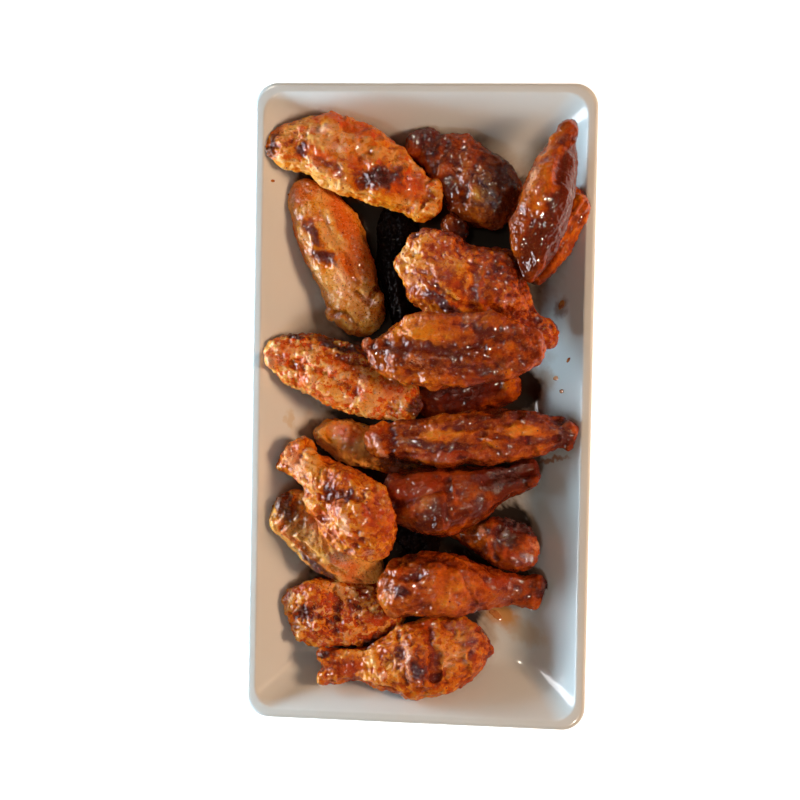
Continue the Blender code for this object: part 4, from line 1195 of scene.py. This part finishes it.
# ------------------------------------------------------------------ what is scattered on the skin
@dataclass
class Scatter:
    """Small things strewn over the upper skin of all wings, made as one piece.

    per_cm2 is how many lie on a square centimetre, sizes are in mm, and flat is their height as a
    share of their width.
    """

    name: str
    per_cm2: float
    small: float
    large: float
    flat: float
    seed: int
    detail: int = 2

    def tree(self) -> bpy.types.NodeTree:
        """Builds the node tree, with named inputs for its numbers."""
        tree = bpy.data.node_groups.new(self.name, "GeometryNodeTree")
        face = tree.interface
        face.new_socket("Wings", in_out="INPUT", socket_type="NodeSocketCollection")
        for name in ("Density", "Small", "Large", "Flat"):
            face.new_socket(name, in_out="INPUT", socket_type="NodeSocketFloat")
        face.new_socket("Seed", in_out="INPUT", socket_type="NodeSocketInt")
        face.new_socket("Finish", in_out="INPUT", socket_type="NodeSocketMaterial")
        face.new_socket("Geometry", in_out="OUTPUT", socket_type="NodeSocketGeometry")
        given = add(tree, "NodeGroupInput").outputs
        wings = add(tree, "GeometryNodeCollectionInfo", {"Collection": given["Wings"]})
        skin = add(tree, "GeometryNodeRealizeInstances", {0: wings})
        normal = add(tree, "GeometryNodeInputNormal").outputs[0]
        facing = add(tree, "ShaderNodeSeparateXYZ", {0: normal}).outputs[2]
        up = add(tree, "ShaderNodeMath", {0: facing, 1: 0.15}, operation="GREATER_THAN").outputs[0]
        points = add(tree, "GeometryNodeDistributePointsOnFaces", {"Mesh": skin, "Selection": up, "Density": given["Density"],
                                                                     "Seed": given["Seed"]})
        ball = add(tree, "GeometryNodeMeshIcoSphere", {"Radius": 0.5, "Subdivisions": self.detail})
        chance = add(tree, "FunctionNodeRandomValue", {"Seed": given["Seed"]}, data_type="FLOAT").outputs[1]
        skewed = add(tree, "ShaderNodeMath", {0: chance, 1: 3.0}, operation="POWER").outputs[0]
        size = add(tree, "ShaderNodeMapRange", {"Value": skewed, "To Min": given["Small"], "To Max": given["Large"]}).outputs[0]
        height = add(tree, "ShaderNodeMath", {0: size, 1: given["Flat"]}, operation="MULTIPLY").outputs[0]
        scale = add(tree, "ShaderNodeCombineXYZ", {0: size, 1: size, 2: height})
        strewn = add(tree, "GeometryNodeInstanceOnPoints", {"Points": points.outputs["Points"], "Instance": ball,
                                                             "Rotation": points.outputs["Rotation"], "Scale": scale})
        real = add(tree, "GeometryNodeRealizeInstances", {0: strewn})
        dressed = add(tree, "GeometryNodeSetMaterial", {"Geometry": real, "Material": given["Finish"]})
        add(tree, "NodeGroupOutput", {0: dressed})
        return tree

    def build(self, wings: bpy.types.Collection, finish: bpy.types.Material) -> bpy.types.Object:
        """Strews the things over the wings.

        Args:
            wings: The wings.
            finish: What they are made of.

        Returns:
            The piece.
        """
        obj = bpy.data.objects.new(self.name, bpy.data.meshes.new(self.name))
        bpy.context.scene.collection.objects.link(obj)
        modifier = obj.modifiers.new("strewn", "NODES")
        modifier.node_group = self.tree()
        values = {"Wings": wings, "Density": self.per_cm2 * 1e4, "Small": self.small * MM, "Large": self.large * MM,
                  "Flat": self.flat, "Seed": self.seed, "Finish": finish}
        for item in modifier.node_group.interface.items_tree:
            if item.in_out == "INPUT":
                modifier[item.identifier] = values[item.name]
        mesh = evaluated(obj)
        bpy.data.objects.remove(obj)
        return new_piece(self.name, mesh)


# ------------------------------------------------------------------ floor, light and camera
class Serves(Enum):
    """What a light serves: the soft shading, the glints on wet surfaces, or both."""

    BOTH = (True, True)
    SHADING = (True, False)
    GLINTS = (False, True)


@dataclass(frozen=True)
class Lamp:
    """An area light: its place, size in metres, power in watts, colour and what it serves."""

    name: str
    place: tuple[float, float, float]
    size: tuple[float, float]
    power: float
    colour: str
    serves: Serves = Serves.BOTH


@dataclass
class Studio:
    """The pale floor, the soft light and the camera above the platter."""

    lamps: tuple[Lamp, ...] = (
        Lamp("window", (-0.50, -0.04, 0.11), (0.50, 0.12), 6.5, "BEE2FA", Serves.SHADING),
        Lamp("window_pane", (-0.50, -0.04, 0.18), (0.50, 0.18), 4.6, "FAF6FA", Serves.GLINTS),
        Lamp("lamp_right", (1.06, 0.06, 0.76), (0.32, 0.32), 12.0, "FFD6B2", Serves.SHADING),
        Lamp("lamp_shade", (1.06, 0.06, 0.76), (0.20, 0.20), 1.8, "FFD2A8", Serves.GLINTS),
        Lamp("lamp_front", (-0.08, -0.65, 1.13), (0.22, 0.22), 2.0, "EAFAFF", Serves.SHADING),
        Lamp("bulb_front", (0.30, -0.66, 1.08), (0.05, 0.05), 9.0, "FFF0DC", Serves.GLINTS),
        Lamp("bulb_back_left", (-0.44, 0.62, 1.10), (0.05, 0.05), 8.0, "FFF0DC", Serves.GLINTS),
        Lamp("bulb_back_right", (0.44, 0.62, 1.10), (0.05, 0.05), 6.0, "FFEAD2", Serves.GLINTS),
    )
    camera_place: tuple[float, float, float] = (93.9, 36.3, 876.2)
    camera_turn: tuple[float, float, float] = (-2.14, 6.96, 1.07)
    lens: float = 81.0
    sensor: float = 36.0
    world: str = "FFE0BE"
    world_strength: float = 0.12
    floor: str = "FAFAFA"
    floor_glow: float = 0.70

    def build_floor(self) -> None:
        """Lays the pale floor just under the platter's foot."""
        bm = bmesh.new()
        bmesh.ops.create_grid(bm, x_segments=1, y_segments=1, size=2.0, matrix=Matrix.Translation((0, 0, -0.2 * MM)))
        mesh = bpy.data.meshes.new("pale_floor")
        bm.to_mesh(mesh)
        bm.free()
        material = bpy.data.materials.new("matt_white_paint")
        material.use_nodes = True
        shader = material.node_tree.nodes["Principled BSDF"]
        shader.inputs["Base Color"].default_value = linear(self.floor)
        shader.inputs["Roughness"].default_value = 0.9
        shader.inputs["Emission Color"].default_value = linear(self.floor)
        shader.inputs["Emission Strength"].default_value = self.floor_glow
        mesh.materials.append(material)
        obj = bpy.data.objects.new("pale_floor", mesh)
        bpy.context.scene.collection.objects.link(obj)

    def build(self) -> None:
        """Sets up the floor, the world, the lamps and the camera."""
        self.build_floor()
        scene = bpy.context.scene
        world = bpy.data.worlds.new("pale_room")
        scene.world = world
        world.use_nodes = True
        background = world.node_tree.nodes["Background"]
        background.inputs["Color"].default_value = linear(self.world)
        background.inputs["Strength"].default_value = self.world_strength
        for lamp in self.lamps:
            data = bpy.data.lights.new(lamp.name, "AREA")
            data.shape, data.size, data.size_y = "RECTANGLE", *lamp.size
            data.energy, data.color = lamp.power, linear(lamp.colour)[:3]
            obj = bpy.data.objects.new(lamp.name, data)
            obj.location = lamp.place
            obj.rotation_euler = (Vector((0, 0, 0.03)) - Vector(lamp.place)).to_track_quat("-Z", "Y").to_euler()
            obj.visible_camera = False
            obj.visible_diffuse, obj.visible_glossy = lamp.serves.value
            scene.collection.objects.link(obj)
        data = bpy.data.cameras.new("camera")
        data.lens, data.sensor_width = self.lens, self.sensor
        data.clip_start, data.clip_end = 0.01, 20.0
        camera = bpy.data.objects.new("camera", data)
        camera.location = Vector(self.camera_place) * MM
        camera.rotation_euler = [math.radians(a) for a in self.camera_turn]
        scene.collection.objects.link(camera)
        scene.camera = camera
        scene.view_settings.view_transform = "Standard"


# ------------------------------------------------------------------ the whole serving
SAUCE_MARKS = SauceMarks("sauce_marks", (
    Mark(64, 14, 2.6, 2.2, 0, 0.35, 0.15), Mark(67, 8, 2.2, 2.0, 0, 0.3, 0.15), Mark(70, 23, 3.0, 1.4, 60, 0.2, 0.15),
    Mark(66, 49, 5.0, 2.6, 70, 0.25, 0.2), Mark(-73, 106, 1.8, 1.4, 0, 0.2, 0.1), Mark(-66, 100, 1.5, 1.2, 0, 0.2, 0.1),
    Mark(37, -102, 8, 3.4, -35, 0.3, 0.25),
))
SAUCE_BEADS = Scatter("sauce_beads", 3.4, 0.30, 1.0, 0.4, 11)
PEPPER_FLECKS = Scatter("pepper_flecks", 0.7, 0.25, 0.8, 0.5, 23, 1)


def main() -> None:
    """Builds the platter, the wings, the sauce and the studio."""
    logging.basicConfig(level=logging.INFO, format="%(name)s %(message)s")
    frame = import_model()
    platter = Platter()
    dish = platter.build(GlazedPorcelain().build())
    finishes = {
        "sauced_flat_skin": SaucedSkin("sauced_flat_skin").build(),
        "sauced_drumette_skin": SaucedSkin("sauced_drumette_skin", rust="AC4405", orange="CC5A08").build(),
    }
    # Painted shade: the two pieces in the deepest gaps get a near-black skin that stands in for the shade there as well
    # as for char.
    burnt = SaucedSkin("burnt_skin", "0C0504", "120604", "180804", "200A04", "2A1008", "34180C", pooled_sauce_and_shade="0A0403", browned="100604", char="080404",
                        painted_char_sheen="140C0C", pale="2A1810", fleck="2A1810", coat=0.06).build()
    relief = SkinRelief()
    sauced = bpy.data.collections.new("sauced_wings")
    bpy.context.scene.collection.children.link(sauced)
    heap = bmesh.new()
    for look in LOOKS:
        skin = burnt if look.skin is Skin.BURNT else finishes[look.slot]
        piece = Wing(look, frame["nodes"][look.node]).build(relief, skin)
        heap.from_mesh(piece.data)
        if look.skin is not Skin.BURNT:
            sauced.objects.link(piece)
            bpy.context.scene.collection.objects.unlink(piece)
    platter.stain_and_shade_by(dish, BVHTree.FromBMesh(heap))
    heap.free()
    sauce = WetSauce("hot_sauce", "B4400C", "7A1C06").build()
    SAUCE_MARKS.build(platter, WetSauce("thin_hot_sauce", "C87A3A", "8E3C14").build())
    SAUCE_BEADS.build(sauced, sauce)
    PEPPER_FLECKS.build(sauced, WetSauce("red_pepper", "5A1A0C", "2A0C06").build())
    Studio().build()


if __name__ == "__main__":
    main()
